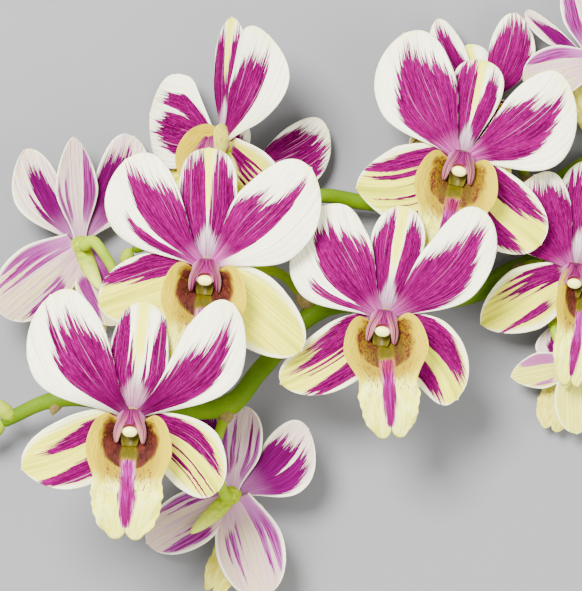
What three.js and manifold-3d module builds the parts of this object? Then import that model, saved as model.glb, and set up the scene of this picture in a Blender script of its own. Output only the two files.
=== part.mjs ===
// A cut, forked flowering spray of a dendrobium orchid, lying down with its blooms facing up.
// Millimetres, +Z up. X runs along the spray from its tip to its cut end.
// Each bloom has its own frame: +Y towards the dorsal sepal, +Z out of the face.

import * as THREE from "three";
import { mergeVertices } from "three/addons/utils/BufferGeometryUtils.js";
import Module from "manifold-3d";

const wasm = await Module();
wasm.setup();

// ---------------------------------------------------------------- driving dimensions

const BLADE = 0.8; // thickness of every sepal, petal and lip
const SEAT_GAP = 0.3; // running gap between pieces that touch
const BASE_REACH = 1.0; // how far from the bloom's axis a sepal or petal starts
const SPRAY_SHIFT = new THREE.Vector3(-10.9, -5.05, 0); // brings the spray over its own origin

// One row for each kind of blade. Angles are in degrees, clockwise from the dorsal sepal.
// lift is the slope at the base, curl is how much the slope changes by the tip,
// cup turns the edges forwards (+) or backwards (-), layer is the height of the base.
// lean bows the blade away from the dorsal sepal and hook brings its tip back, both as
// shares of the width.
const DORSAL = {
  angle: 0, length: 31.5, width: 15.8, widest: 0.55, claw: 0.28, taper: 1.9, blunt: 2.3, round: 2.1,
  lift: 1, curl: -9, cup: -0.12, layer: -0.6, lean: 0, hook: 0, rows: 5,
};
const PETAL = {
  angle: 42, length: 39.5, width: 23, widest: 0.63, claw: 0.12, taper: 1.6, blunt: 2.2, round: 2.2,
  lift: 7, curl: -14, cup: -0.08, layer: 0.5, lean: 0.1, hook: 0.17, rows: 6,
};
const LATERAL = {
  angle: 120, length: 31.5, width: 19, widest: 0.5, claw: 0.5, taper: 1.2, blunt: 2.2, round: 1.9,
  lift: -2, curl: -4, cup: 0.06, layer: -0.7, lean: 0, hook: 0, rows: 5,
};
const TEPAL_COLUMNS = 3;
const TIP_WIDTH = 0.1; // share of the full width left at a tip

const HUB_RADIUS = 3.2;
const HUB_FRONT = 1.1;
const HUB_BACK = -3.4;
const HUB_SEAT = 1.7; // radius of the flat spot that the pedicel meets
const HUB_PROFILE = [
  [0, HUB_BACK], [HUB_SEAT, HUB_BACK], [0.85 * HUB_RADIUS, 0.5 * HUB_BACK],
  [HUB_RADIUS, 0], [0.9 * HUB_RADIUS, HUB_FRONT], [0, HUB_FRONT],
];
const HUB_SIDES = 8;

// The chin spur below the hub: place on the bloom's Y and Z, and radius.
const MENTUM = [
  { y: 0.5, z: -0.8, radius: 2.0 },
  { y: -4.5, z: -1.3, radius: 2.5 },
  { y: -9.0, z: -3.6, radius: 2.0 },
  { y: -12.0, z: -6.0, radius: 0.9 },
];
const MENTUM_SIDES = 6;

// The lip's middle line in the bloom's YZ plane, as the four points of a Bezier curve.
const LIP_LINE = [[-4.9, 2.2], [-9.5, 7.0], [-20.0, 9.4], [-30.0, 3.4]];
// The lip across its length: half width measured on the surface, roll of the margin in
// degrees, and how far the margin is swept back towards the hub.
const LIP_SECTIONS = [
  { u: 0.0, half: 3.0, roll: 80, sweep: 0.5 },
  { u: 0.12, half: 8.6, roll: 84, sweep: 3.8 },
  { u: 0.25, half: 12.6, roll: 72, sweep: 4.8 },
  { u: 0.38, half: 12.7, roll: 44, sweep: 3.0 },
  { u: 0.52, half: 9.6, roll: 26, sweep: 0.8 },
  { u: 0.64, half: 9.9, roll: 12, sweep: 0.0 },
  { u: 0.78, half: 9.2, roll: 4, sweep: -0.4 },
  { u: 0.9, half: 7.2, roll: -6, sweep: -1.0 },
  { u: 1.0, half: 4.6, roll: -12, sweep: -1.8 },
];
const LIP_ROWS = 8;
const LIP_COLUMNS = 6;

// The column, from its seat on the hub to the face under the anther cap.
const COLUMN = [
  { y: 0.0, z: HUB_FRONT + 0.6, wide: 3.9, deep: 2.9 },
  { y: -0.5, z: 4.2, wide: 3.7, deep: 2.7 },
  { y: -1.6, z: 6.2, wide: 3.1, deep: 2.3 },
  { y: -2.5, z: 7.3, wide: 2.1, deep: 1.7 },
];
const COLUMN_SIDES = 8;

const CAP_WIDE = 1.9;
const CAP_DEEP = 1.5;
const CAP_HIGH = 1.7;
const CAP_PROFILE = [[1, 0], [0.92, 0.45], [0.45, 0.9]]; // shares of its width and height
const CAP_SIDES = 6;

const STEM_SIDES = 8;
const PEDICEL_SIDES = 6;
const STEM_STEP = 7; // length of a straight piece of stem

// ---------------------------------------------------------------- the blooms

// at is the hub's place, yaw turns about Y, pitch about X, roll clockwise about the face,
// sway turns the lip alone and spur the chin spur alone, clockwise. The entries under
// tepals change single blades.
// pedicel lists the points between the bloom's back and its root on a stem, then the root.
const BLOOMS = [
  {
    name: "bloom_01", at: [-42.7, -33.1, 59], yaw: 0, pitch: 0, roll: 3, sway: 0, spur: 0, scale: 1,
    tepals: { dorsal: { angle: 2 }, petal_left: { angle: -41 }, petal_right: { angle: 43 } },
    pedicel: [[-44, -33, 46], [-48, -31.5, 34], [-50, -30, 19]],
  },
  {
    name: "bloom_02", at: [-22.9, 7.2, 46], yaw: 0, pitch: 0, roll: 4, sway: 0, spur: 0, scale: 1,
    tepals: {
      dorsal: { angle: -1, length: 32.2 },
      petal_left: { angle: -47, length: 35.5 },
      petal_right: { angle: 48, length: 39.5 },
      lateral_left: { angle: -113, length: 30 },
      lateral_right: { angle: 126, length: 33.5, width: 21 },
    },
    pedicel: [[-21, 7.2, 37], [-13, 7.6, 25], [-2.7, 5.8, 17], [6, -3.5, 13.2]],
  },
  {
    name: "bloom_03", at: [25.1, -6.6, 38.5], yaw: 0, pitch: 0, roll: 8, sway: -12, spur: 0, scale: 1,
    tepals: {
      petal_left: { length: 36.5, width: 22.5 },
      petal_right: { angle: 41 },
      lateral_left: { angle: -127, length: 32 },
      lateral_right: { angle: 131, length: 29.5 },
    },
    pedicel: [[26, -5.5, 26], [31, -3, 18], [37, -0.6, 9.6]],
  },
  {
    name: "bloom_04", at: [46.4, 36.9, 25], yaw: 0, pitch: 0, roll: 12, sway: 0, spur: 0, scale: 1,
    tepals: {
      dorsal: { angle: -3, length: 27.5, width: 14.5 },
      petal_left: { angle: -42, length: 36.5 },
      petal_right: { angle: 51, length: 35.5 },
      lateral_left: { angle: -118, length: 30 },
      lateral_right: { angle: 128, length: 31.5, width: 17 },
    },
    pedicel: [[43.4, 36, 15.5], [41.5, 31, 11.5], [43, 24.4, 9.2]],
  },
  {
    name: "bloom_05", at: [-18.6, 41.2, 23.2], yaw: -48, pitch: 0, roll: 0, sway: 0, spur: 0, scale: 1,
    tepals: {
      dorsal: { angle: 2, length: 34.5, width: 14 },
      petal_left: { angle: -66, length: 33, width: 25 },
      petal_right: { angle: 36, length: 33.5, width: 23 },
      lateral_left: { angle: -112, length: 27 },
      lateral_right: { angle: 132, length: 27, width: 17, curl: -25 },
    },
    pedicel: [[-12.6, 39.5, 18.6], [-11, 34, 18.2], [-10.5, 28, 18], [-11, 22.4, 16.5]],
  },
  {
    name: "bloom_06", at: [-58.3, 13.9, 12.1], yaw: 200, pitch: 0, roll: 5, sway: 0, spur: 15, scale: 0.88,
    tepals: {
      dorsal: { angle: 0, length: 33 },
      petal_left: { angle: -37, length: 38, width: 18 },
      petal_right: { angle: 31, length: 34, width: 18 },
      lateral_left: { angle: -160, length: 27, width: 15 },
      lateral_right: { angle: 122, length: 34, width: 22 },
    },
    pedicel: [[-54.6, 15.0, 18.6], [-50.5, 10.1, 19.2], [-47.8, 4.5, 19], [-45.6, -1.2, 18],
      [-42.1, -13.4, 17], [-41, -31, 19.4]],
  },
  {
    name: "bloom_07", at: [-16.2, -55.2, 12.63], yaw: 160, pitch: 0, roll: -15, sway: -12, spur: -30,
    scale: 0.88,
    tepals: {
      dorsal: { angle: 5, length: 28 },
      petal_left: { angle: -41, length: 32, width: 20 },
      petal_right: { angle: 36, length: 32, width: 20 },
      lateral_left: { angle: -144, length: 33, width: 23 },
      lateral_right: { angle: 134, length: 31, width: 18 },
    },
    pedicel: [[-19.4, -52, 18.5], [-21.3, -44.4, 20], [-19.4, -36.9, 20], [-17, -30, 18.4]],
  },
  {
    name: "bloom_08", at: [78.0, 6.3, 16], yaw: 0, pitch: 0, roll: 8, sway: 0, spur: 0, scale: 0.97,
    tepals: {
      petal_left: { angle: -37, length: 29, width: 21 },
      lateral_left: { angle: -127, length: 28.5 },
    },
    pedicel: [[75, 7.5, 11.5], [67, 8.8, 10.5], [60.5, 5.5, 7.6]],
  },
  {
    name: "bloom_09", at: [78.0, -19.0, 8], yaw: 180, pitch: 0, roll: -19, sway: 0, spur: 0, scale: 0.6,
    tepals: {
      petal_right: { length: 26 },
      lateral_left: { angle: -158 },
      lateral_right: { length: 27.5, width: 18 },
    },
    pedicel: [[75, -15, 12], [72, -6, 10], [73, 11, 6.4]],
  },
  {
    name: "bloom_10", at: [53.2, 51.7, 8.7], yaw: 0, pitch: 0, roll: -3, sway: 0, spur: 0, scale: 0.74,
    tepals: {
      dorsal: { angle: -10, length: 24 },
      petal_left: { angle: -28, length: 37, width: 16 },
      petal_right: { angle: 27, length: 37, width: 18 },
    },
    pedicel: [[55, 49, 3.4], [62, 39, 3.6], [67, 28.5, 7.3]],
  },
  {
    name: "bloom_11", at: [83.4, 64.9, 10.6], yaw: 180, pitch: 0, roll: 12, sway: 0, spur: 0, scale: 0.75,
    tepals: { petal_right: { angle: 44, length: 30, width: 9 }, lateral_right: { angle: 94, length: 26 } },
    pedicel: [[87, 63, 16], [93.5, 57, 16.2], [98, 46.5, 10.5], [95.5, 35, 4]],
  },
  {
    name: "bloom_12", at: [-13.8, 34.4, 7.5], yaw: 0, pitch: 0, roll: 33, sway: 0, spur: 0, scale: 0.56,
    tepals: {
      dorsal: { length: 25 },
      petal_left: { length: 34 },
      petal_right: { length: 46, width: 30 },
      lateral_left: { length: 26 },
      lateral_right: { length: 18 },
    },
    pedicel: [[-13.4, 30, 2.6], [-11.5, 24.6, 3.2], [-9, 21.6, 9], [-9.5, 22.4, 16]],
  },
];

// ---------------------------------------------------------------- the stem

// Middle lines of the stems, from the cut end outwards: x, y, z and radius.
const STEM_LINES = [
  // the cut stalk
  [[104, 38, 3.2, 3.7], [96, 34, 3.4, 3.7], [90, 29, 3.8, 3.4]],
  // the lower branch, out to its tip
  [[96, 34, 3.4, 3.6], [84, 18, 4.6, 3.4], [66, 8, 6.6, 3.3], [49, 0.7, 8, 3.2], [28, -2, 10.5, 2.9],
    [8, -4, 13, 2.5], [-8, -20, 16, 2.6], [-17, -30, 18.5, 2.6], [-35, -31.5, 20, 2.2],
    [-64, -28.5, 17, 1.9], [-80, -35, 13, 1.6]],
  // the upper branch
  [[96, 34, 3.4, 3.2], [84, 36.5, 5, 2.9], [72, 30, 7.5, 2.8], [48, 24, 9, 2.4], [20, 25.8, 10, 2.2],
    [8, 27.5, 13, 2.0], [-12, 22, 16.5, 1.9], [-30, 17, 16, 1.7], [-44, 12.5, 12, 1.3]],
];
const PEDICEL_RADIUS = 1.45;
const PEDICEL_LEAD = 2.5; // a pedicel leaves the hub's back straight for this long

// The stalk's underside is cut flat at this height, by a box wide enough to clear the spray.
const REST_HEIGHT = 0;
const FLOOR_WIDTH = 400;
const FLOOR_DEPTH = 20;

// A bract hugs the root of every pedicel: its length, and its radius from root to tip.
const BRACT_LENGTH = 7;
const BRACT_RADII = [2.4, 2.3, 0.6];
const BRACT_SIDES = 5;

// Unopened buds at the branch tips: middle, the way the bud points, length and radius.
const BUDS = [
  { at: [-83, -37.5, 12.2], towards: [-0.8, -0.5, -0.1], length: 10, radius: 2.7 },
  { at: [-79, -31.5, 15], towards: [-0.6, 0.75, 0.2], length: 8, radius: 2.2 },
  { at: [-45.5, 10.2, 10.6], towards: [-0.35, -0.85, -0.4], length: 7, radius: 1.9 },
];
const BUD_PROFILE = [[0, 0.25], [0.2, 0.85], [0.5, 1], [0.8, 0.7], [1, 0.15]];
const BUD_SIDES = 6;

// ---------------------------------------------------------------- materials

function finish(color, roughness) {
  return new THREE.MeshStandardMaterial({ color, roughness, metalness: 0 });
}

const MATERIALS = {
  tepals: () => finish("#c8409a", 0.5),
  lip: () => finish("#e9d68c", 0.5),
  column: () => finish("#cf6aa8", 0.45),
  cap: () => finish("#f6f2dc", 0.4),
  stem: () => finish("#7f9f38", 0.55),
};

// ---------------------------------------------------------------- solids from surfaces

const MERGE_DISTANCE = 1e-4;
const NORMAL_STEP = 0.01;
const SMALLEST_BEND = 1e-3;
const radians = THREE.MathUtils.degToRad;

// A closed solid from a BufferGeometry whose walls already meet.
function toSolid(geometry) {
  const bare = new THREE.BufferGeometry();
  bare.setAttribute("position", geometry.getAttribute("position"));
  bare.setIndex(geometry.getIndex());
  const merged = mergeVertices(bare, MERGE_DISTANCE);
  return new wasm.Manifold(new wasm.Mesh({
    numProp: 3,
    vertProperties: new Float32Array(merged.getAttribute("position").array),
    triVerts: new Uint32Array(merged.getIndex().array),
  }));
}

function toGeometry(solid) {
  const mesh = solid.getMesh();
  const geometry = new THREE.BufferGeometry();
  geometry.setAttribute("position", new THREE.BufferAttribute(new Float32Array(mesh.vertProperties), 3));
  geometry.setIndex(new THREE.BufferAttribute(new Uint32Array(mesh.triVerts), 1));
  return geometry;
}

function join(solids) {
  return solids.reduce((whole, solid) => whole.add(solid));
}

function geometryFrom(points, triangles) {
  const geometry = new THREE.BufferGeometry().setFromPoints(points);
  geometry.setIndex(triangles);
  return geometry;
}

function evenShares(count) {
  return Array.from({ length: count + 1 }, (_, index) => index / count);
}

// The unit normal of a surface at (u, v), from two short steps on it.
function surfaceNormal(surface, u, v) {
  const step = NORMAL_STEP;
  const alongU = surface(Math.min(u + step, 1), v).sub(surface(Math.max(u - step, 0), v));
  const alongV = surface(u, Math.min(v + step, 1)).sub(surface(u, Math.max(v - step, -1)));
  return alongV.cross(alongU).normalize();
}

// A blade of even thickness round a surface, split into triangles alike on both faces.
function blade(surface, rowPlaces, columns) {
  const rows = rowPlaces.length;
  const points = [];
  for (const side of [0.5, -0.5]) {
    for (const u of rowPlaces) {
      for (let column = 0; column <= columns; column += 1) {
        const v = (2 * column) / columns - 1;
        points.push(surface(u, v).addScaledVector(surfaceNormal(surface, u, v), side * BLADE));
      }
    }
  }
  const back = rows * (columns + 1);
  const at = (row, column) => row * (columns + 1) + column;
  const triangles = [];
  const quad = (a, b, c, d) => triangles.push(a, b, c, a, c, d);
  for (let row = 0; row < rows - 1; row += 1) {
    for (let column = 0; column < columns; column += 1) {
      const corners = [at(row, column), at(row, column + 1), at(row + 1, column + 1), at(row + 1, column)];
      quad(...corners);
      const [a, b, c, d] = corners.map((corner) => corner + back);
      triangles.push(c, b, a, d, c, a);
    }
  }
  const rim = [];
  for (let column = 0; column < columns; column += 1) rim.push(at(0, column));
  for (let row = 0; row < rows - 1; row += 1) rim.push(at(row, columns));
  for (let column = columns; column > 0; column -= 1) rim.push(at(rows - 1, column));
  for (let row = rows - 1; row > 0; row -= 1) rim.push(at(row, 0));
  rim.forEach((here, index) => {
    const next = rim[(index + 1) % rim.length];
    quad(next, here, here + back, next + back);
  });
  return geometryFrom(points, triangles);
}

// A closed loft through rings of equal point count, with a fan over each end.
function loft(rings) {
  const sides = rings[0].length;
  const points = rings.flat();
  const middle = (ring) => ring.reduce((sum, p) => sum.add(p), new THREE.Vector3()).divideScalar(sides);
  const first = points.push(middle(rings[0])) - 1;
  const last = points.push(middle(rings[rings.length - 1])) - 1;
  const top = (rings.length - 1) * sides;
  const triangles = [];
  for (let side = 0; side < sides; side += 1) {
    const next = (side + 1) % sides;
    for (let ring = 0; ring < rings.length - 1; ring += 1) {
      const low = ring * sides;
      const high = low + sides;
      triangles.push(low + side, low + next, high + next, low + side, high + next, high + side);
    }
    triangles.push(first, next, side, last, top + side, top + next);
  }
  return geometryFrom(points, triangles);
}

function ellipseRing(centre, axisA, axisB, a, b, sides) {
  return Array.from({ length: sides }, (_, index) => {
    const angle = (2 * Math.PI * index) / sides;
    return centre.clone()
      .addScaledVector(axisA, a * Math.cos(angle))
      .addScaledVector(axisB, b * Math.sin(angle));
  });
}

// A round tube of changing radius along a smooth line.
function taperedTube(line, stepLength, sides) {
  const curve = new THREE.CatmullRomCurve3(line.map(([x, y, z]) => new THREE.Vector3(x, y, z)));
  const steps = Math.max(2, Math.round(curve.getLength() / stepLength));
  const frames = curve.computeFrenetFrames(steps);
  const radii = line.map((point) => point[3]);
  const rings = [];
  for (let step = 0; step <= steps; step += 1) {
    const share = curve.getUtoTmapping(step / steps) * (radii.length - 1);
    const index = Math.min(Math.floor(share), radii.length - 2);
    const radius = THREE.MathUtils.lerp(radii[index], radii[index + 1], share - index);
    const centre = curve.getPointAt(step / steps);
    rings.push(ellipseRing(centre, frames.normals[step], frames.binormals[step], radius, radius, sides));
  }
  return loft(rings);
}

// ---------------------------------------------------------------- sepals and petals

// Share of the full half width at u, from a narrow claw to a rounded tip.
function outline(shape, u) {
  if (u < shape.widest) {
    const rise = Math.sin((Math.PI / 2) * (u / shape.widest)) ** shape.taper;
    return shape.claw + (1 - shape.claw) * rise;
  }
  const fall = (u - shape.widest) / (1 - shape.widest);
  return Math.max(TIP_WIDTH, Math.max(0, 1 - fall ** shape.blunt) ** (1 / shape.round));
}

function tepalSurface(shape) {
  const outwards = new THREE.Vector2(Math.sin(radians(shape.angle)), Math.cos(radians(shape.angle)));
  const sideways = new THREE.Vector2(outwards.y, -outwards.x);
  const lift = radians(shape.lift);
  const curl = radians(shape.curl);
  return (u, v) => {
    const half = 0.5 * shape.width * outline(shape, u);
    const slope = lift + curl * u;
    const rise = shape.cup * half * v * v;
    const run = (shape.length * (Math.sin(slope) - Math.sin(lift))) / curl;
    const climb = (shape.length * (Math.cos(lift) - Math.cos(slope))) / curl;
    const along = BASE_REACH + run - rise * Math.sin(slope);
    const height = shape.layer + climb + rise * Math.cos(slope);
    const bow = shape.lean * Math.sin(Math.PI * u) - shape.hook * u ** 4;
    const across = v * half + bow * shape.width;
    const flat = outwards.clone().multiplyScalar(along).addScaledVector(sideways, across);
    return new THREE.Vector3(flat.x, flat.y, height);
  };
}

function tepalShapes(changes) {
  const mirrored = (shape) => ({ ...shape, angle: -shape.angle, lean: -shape.lean, hook: -shape.hook });
  const shapes = {
    dorsal: DORSAL,
    petal_left: mirrored(PETAL),
    petal_right: PETAL,
    lateral_left: mirrored(LATERAL),
    lateral_right: LATERAL,
  };
  return Object.entries(shapes).map(([name, shape]) => ({ ...shape, ...changes[name] }));
}

function hub() {
  const turned = new THREE.LatheGeometry(HUB_PROFILE.map(([r, z]) => new THREE.Vector2(r, z)), HUB_SIDES);
  return turned.rotateX(Math.PI / 2);
}

function mentum() {
  const rings = MENTUM.map((place, index) => {
    const before = MENTUM[Math.max(index - 1, 0)];
    const after = MENTUM[Math.min(index + 1, MENTUM.length - 1)];
    const along = new THREE.Vector3(0, after.y - before.y, after.z - before.z).normalize();
    const across = new THREE.Vector3(1, 0, 0);
    const centre = new THREE.Vector3(0, place.y, place.z);
    return ellipseRing(centre, across, along.clone().cross(across), place.radius, place.radius, MENTUM_SIDES);
  });
  return loft(rings);
}

function tepalsGeometry(bloom) {
  const blades = tepalShapes(bloom.tepals).map((shape) => {
    const rowPlaces = evenShares(shape.rows).map((share) => Math.sin((Math.PI / 2) * share));
    return blade(tepalSurface(shape), rowPlaces, TEPAL_COLUMNS);
  });
  const spur = mentum().rotateZ(-radians(bloom.spur));
  return toGeometry(join([hub(), spur, ...blades].map(toSolid)));
}

// ---------------------------------------------------------------- lip, column and cap

function lipSection(u) {
  const next = Math.max(1, LIP_SECTIONS.findIndex((section) => section.u >= u));
  const [low, high] = [LIP_SECTIONS[next - 1], LIP_SECTIONS[next]];
  const share = THREE.MathUtils.smoothstep(u, low.u, high.u);
  const between = (key) => THREE.MathUtils.lerp(low[key], high[key], share);
  return { half: between("half"), roll: radians(between("roll")), sweep: between("sweep") };
}

function lipSurface() {
  const line = new THREE.CubicBezierCurve(...LIP_LINE.map(([y, z]) => new THREE.Vector2(y, z)));
  return (u, v) => {
    const { half, roll, sweep } = lipSection(u);
    const middle = line.getPoint(u);
    const along = line.getTangent(u);
    const bend = Math.abs(roll) < SMALLEST_BEND ? SMALLEST_BEND : roll;
    const across = (half / bend) * Math.sin(bend * v);
    const rise = (half / bend) * (1 - Math.cos(bend * v));
    const swept = middle.clone().addScaledVector(along, -sweep * v * v);
    return new THREE.Vector3(across, swept.x + rise * along.y, swept.y - rise * along.x);
  };
}

function lipGeometry(bloom) {
  return blade(lipSurface(), evenShares(LIP_ROWS), LIP_COLUMNS).rotateZ(-radians(bloom.sway));
}

function columnEnd() {
  const [before, end] = COLUMN.slice(-2);
  const along = new THREE.Vector3(0, end.y - before.y, end.z - before.z).normalize();
  return { centre: new THREE.Vector3(0, end.y, end.z), along };
}

function columnGeometry() {
  const across = new THREE.Vector3(1, 0, 0);
  const { along } = columnEnd();
  const rings = COLUMN.map((place, index) => {
    const share = index / (COLUMN.length - 1);
    const axis = new THREE.Vector3(0, 0, 1).lerp(along, share).normalize();
    const centre = new THREE.Vector3(0, place.y, place.z);
    return ellipseRing(centre, across, axis.clone().cross(across), place.wide, place.deep, COLUMN_SIDES);
  });
  return loft(rings);
}

function capGeometry() {
  const { centre, along } = columnEnd();
  const across = new THREE.Vector3(1, 0, 0);
  const up = along.clone().cross(across);
  const rings = CAP_PROFILE.map(([share, height]) => {
    const place = centre.clone().addScaledVector(along, SEAT_GAP + height * CAP_HIGH);
    return ellipseRing(place, across, up, share * CAP_WIDE, share * CAP_DEEP, CAP_SIDES);
  });
  return loft(rings);
}

// ---------------------------------------------------------------- the spray

function place(object, bloom) {
  object.position.fromArray(bloom.at);
  object.rotation.set(radians(bloom.pitch), radians(bloom.yaw), -radians(bloom.roll), "YXZ");
  object.scale.setScalar(bloom.scale);
  object.updateMatrix();
  return object;
}

function bloomGroup(bloom) {
  const group = new THREE.Group();
  const pieces = {
    tepals: [tepalsGeometry(bloom), MATERIALS.tepals()],
    lip: [lipGeometry(bloom), MATERIALS.lip()],
    column: [columnGeometry(), MATERIALS.column()],
    anther_cap: [capGeometry(), MATERIALS.cap()],
  };
  for (const [piece, [geometry, material]] of Object.entries(pieces)) {
    const mesh = new THREE.Mesh(geometry, material);
    mesh.name = `${bloom.name}_${piece}`;
    group.add(mesh);
  }
  return place(group, bloom);
}

// The stalk of one bloom, from just behind its hub to its root inside a stem.
function pedicel(bloom) {
  const frame = place(new THREE.Object3D(), bloom).matrix;
  const behind = [SEAT_GAP / bloom.scale, PEDICEL_LEAD].map((gap) => new THREE.Vector3(0, 0, HUB_BACK - gap));
  const line = [
    ...behind.map((point) => [...point.applyMatrix4(frame).toArray(), PEDICEL_RADIUS]),
    ...bloom.pedicel.map((point) => [...point, PEDICEL_RADIUS]),
  ];
  return taperedTube(line, STEM_STEP, PEDICEL_SIDES);
}

// A cone-like sheath at a pedicel's root, pointing along the pedicel.
function bract(bloom) {
  const [before, root] = bloom.pedicel.slice(-2).map((point) => new THREE.Vector3(...point));
  const along = before.sub(root).normalize();
  const shares = evenShares(BRACT_RADII.length - 1);
  const profile = BRACT_RADII.map((radius, index) => [shares[index], radius]);
  return spindle(root, along, profile, BRACT_LENGTH, BRACT_SIDES);
}

function bud({ at, towards, length, radius }) {
  const along = new THREE.Vector3(...towards).normalize();
  const start = new THREE.Vector3(...at).addScaledVector(along, -0.5 * length);
  const profile = BUD_PROFILE.map(([share, width]) => [share, width * radius]);
  return spindle(start, along, profile, length, BUD_SIDES);
}

// A closed turned shape from start along a direction, through [share of length, radius].
function spindle(start, along, profile, length, sides) {
  const side = new THREE.Vector3(0, 0, 1).cross(along).normalize();
  const other = along.clone().cross(side);
  return loft(profile.map(([share, radius]) => {
    const centre = start.clone().addScaledVector(along, share * length);
    return ellipseRing(centre, side, other, radius, radius, sides);
  }));
}

function stemMesh() {
  const pieces = [
    ...STEM_LINES.map((line) => taperedTube(line, STEM_STEP, STEM_SIDES)),
    ...BLOOMS.flatMap((bloom) => [pedicel(bloom), bract(bloom)]),
    ...BUDS.map(bud),
  ];
  const whole = join(pieces.map(toSolid));
  const floor = new THREE.BoxGeometry(FLOOR_WIDTH, FLOOR_WIDTH, FLOOR_DEPTH);
  floor.translate(0, 0, REST_HEIGHT - 0.5 * FLOOR_DEPTH);
  const mesh = new THREE.Mesh(toGeometry(whole.subtract(toSolid(floor))), MATERIALS.stem());
  mesh.name = "spray_stem";
  return mesh;
}

const spray = new THREE.Group();
spray.add(stemMesh());
for (const bloom of BLOOMS) spray.add(bloomGroup(bloom));
spray.position.copy(SPRAY_SHIFT);

const part = new THREE.Group();
part.add(spray);

export default part;
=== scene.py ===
# %% [markdown]
# # A cut spray of a dendrobium orchid
# A forked green stem carries twelve open blooms. Each bloom has three sepals, two
# petals, a lip, a column and an anther cap. The rigid model holds their places, and
# this lesson gives them their fine shape, their streaks and their light.
# All lengths below are in millimetres until a mesh is made, and metres after that.

# %% Load the rigid model
import math

import bmesh
import bpy
import numpy as np
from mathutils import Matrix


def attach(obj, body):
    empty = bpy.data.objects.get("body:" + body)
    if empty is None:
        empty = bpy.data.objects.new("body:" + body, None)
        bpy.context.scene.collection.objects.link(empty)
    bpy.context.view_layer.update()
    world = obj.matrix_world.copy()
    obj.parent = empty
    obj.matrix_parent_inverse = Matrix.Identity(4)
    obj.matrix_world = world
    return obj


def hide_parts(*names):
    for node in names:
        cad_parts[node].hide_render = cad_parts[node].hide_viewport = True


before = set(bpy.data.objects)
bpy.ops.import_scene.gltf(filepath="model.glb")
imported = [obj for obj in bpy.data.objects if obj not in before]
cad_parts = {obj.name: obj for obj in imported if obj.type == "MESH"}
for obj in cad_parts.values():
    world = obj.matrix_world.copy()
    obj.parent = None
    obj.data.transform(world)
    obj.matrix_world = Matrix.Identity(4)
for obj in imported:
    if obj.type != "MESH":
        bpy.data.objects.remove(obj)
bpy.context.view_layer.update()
MM = 0.001
print("nodes in the rigid model:", len(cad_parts))

# %% [markdown]
# ## The measures of a bloom
# Every bloom grows to one plan. A sepal or petal leaves the middle at an angle, reaches
# its widest place part of the way out and ends in a rounded tip. Writing the plan down
# once, and then only what differs from bloom to bloom, keeps sixty blades in one short
# table. Claw and taper shape a blade's base, blunt, round and point its tip; lift, curl
# and cup bend it; lean and hook push it sideways; wave is the depth of its ruffle.

# %% The plan of one bloom
SPRAY_SHIFT = np.array([-10.9, -5.05, 0.0])
BASE_REACH = 1.0
HUB_RADIUS, HUB_FRONT, HUB_BACK = 3.2, 1.1, -3.4

DORSAL = dict(point=0.05, angle=0, length=31.5, width=15.8, widest=0.55, claw=0.28, taper=1.9,
              blunt=2.3, round=2.1, lift=1, curl=-9, cup=-0.12, layer=-0.6, lean=0, hook=0,
              wave=0.25, hand=1, slot=1)
PETAL = dict(point=0.1, angle=42, length=39.5, width=23, widest=0.63, claw=0.12, taper=1.6,
             blunt=2.2, round=2.2, lift=7, curl=-14, cup=-0.08, layer=0.5, lean=0.1, hook=0.17,
             wave=0.55, hand=1, slot=0)
LATERAL = dict(point=0.2, angle=120, length=31.5, width=19, widest=0.5, claw=0.5, taper=1.2,
               blunt=2.2, round=1.9, lift=-2, curl=-4, cup=0.06, layer=-0.7, lean=0, hook=0,
               wave=0.3, hand=1, slot=2)


def mirrored(shape):
    return {**shape, **{key: -shape[key] for key in ("angle", "lean", "hook", "hand")}}


PLAN = {"dorsal": DORSAL, "petal_left": mirrored(PETAL), "petal_right": PETAL,
        "lateral_left": mirrored(LATERAL), "lateral_right": LATERAL}
print("blades in a bloom:", ", ".join(PLAN))
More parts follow.
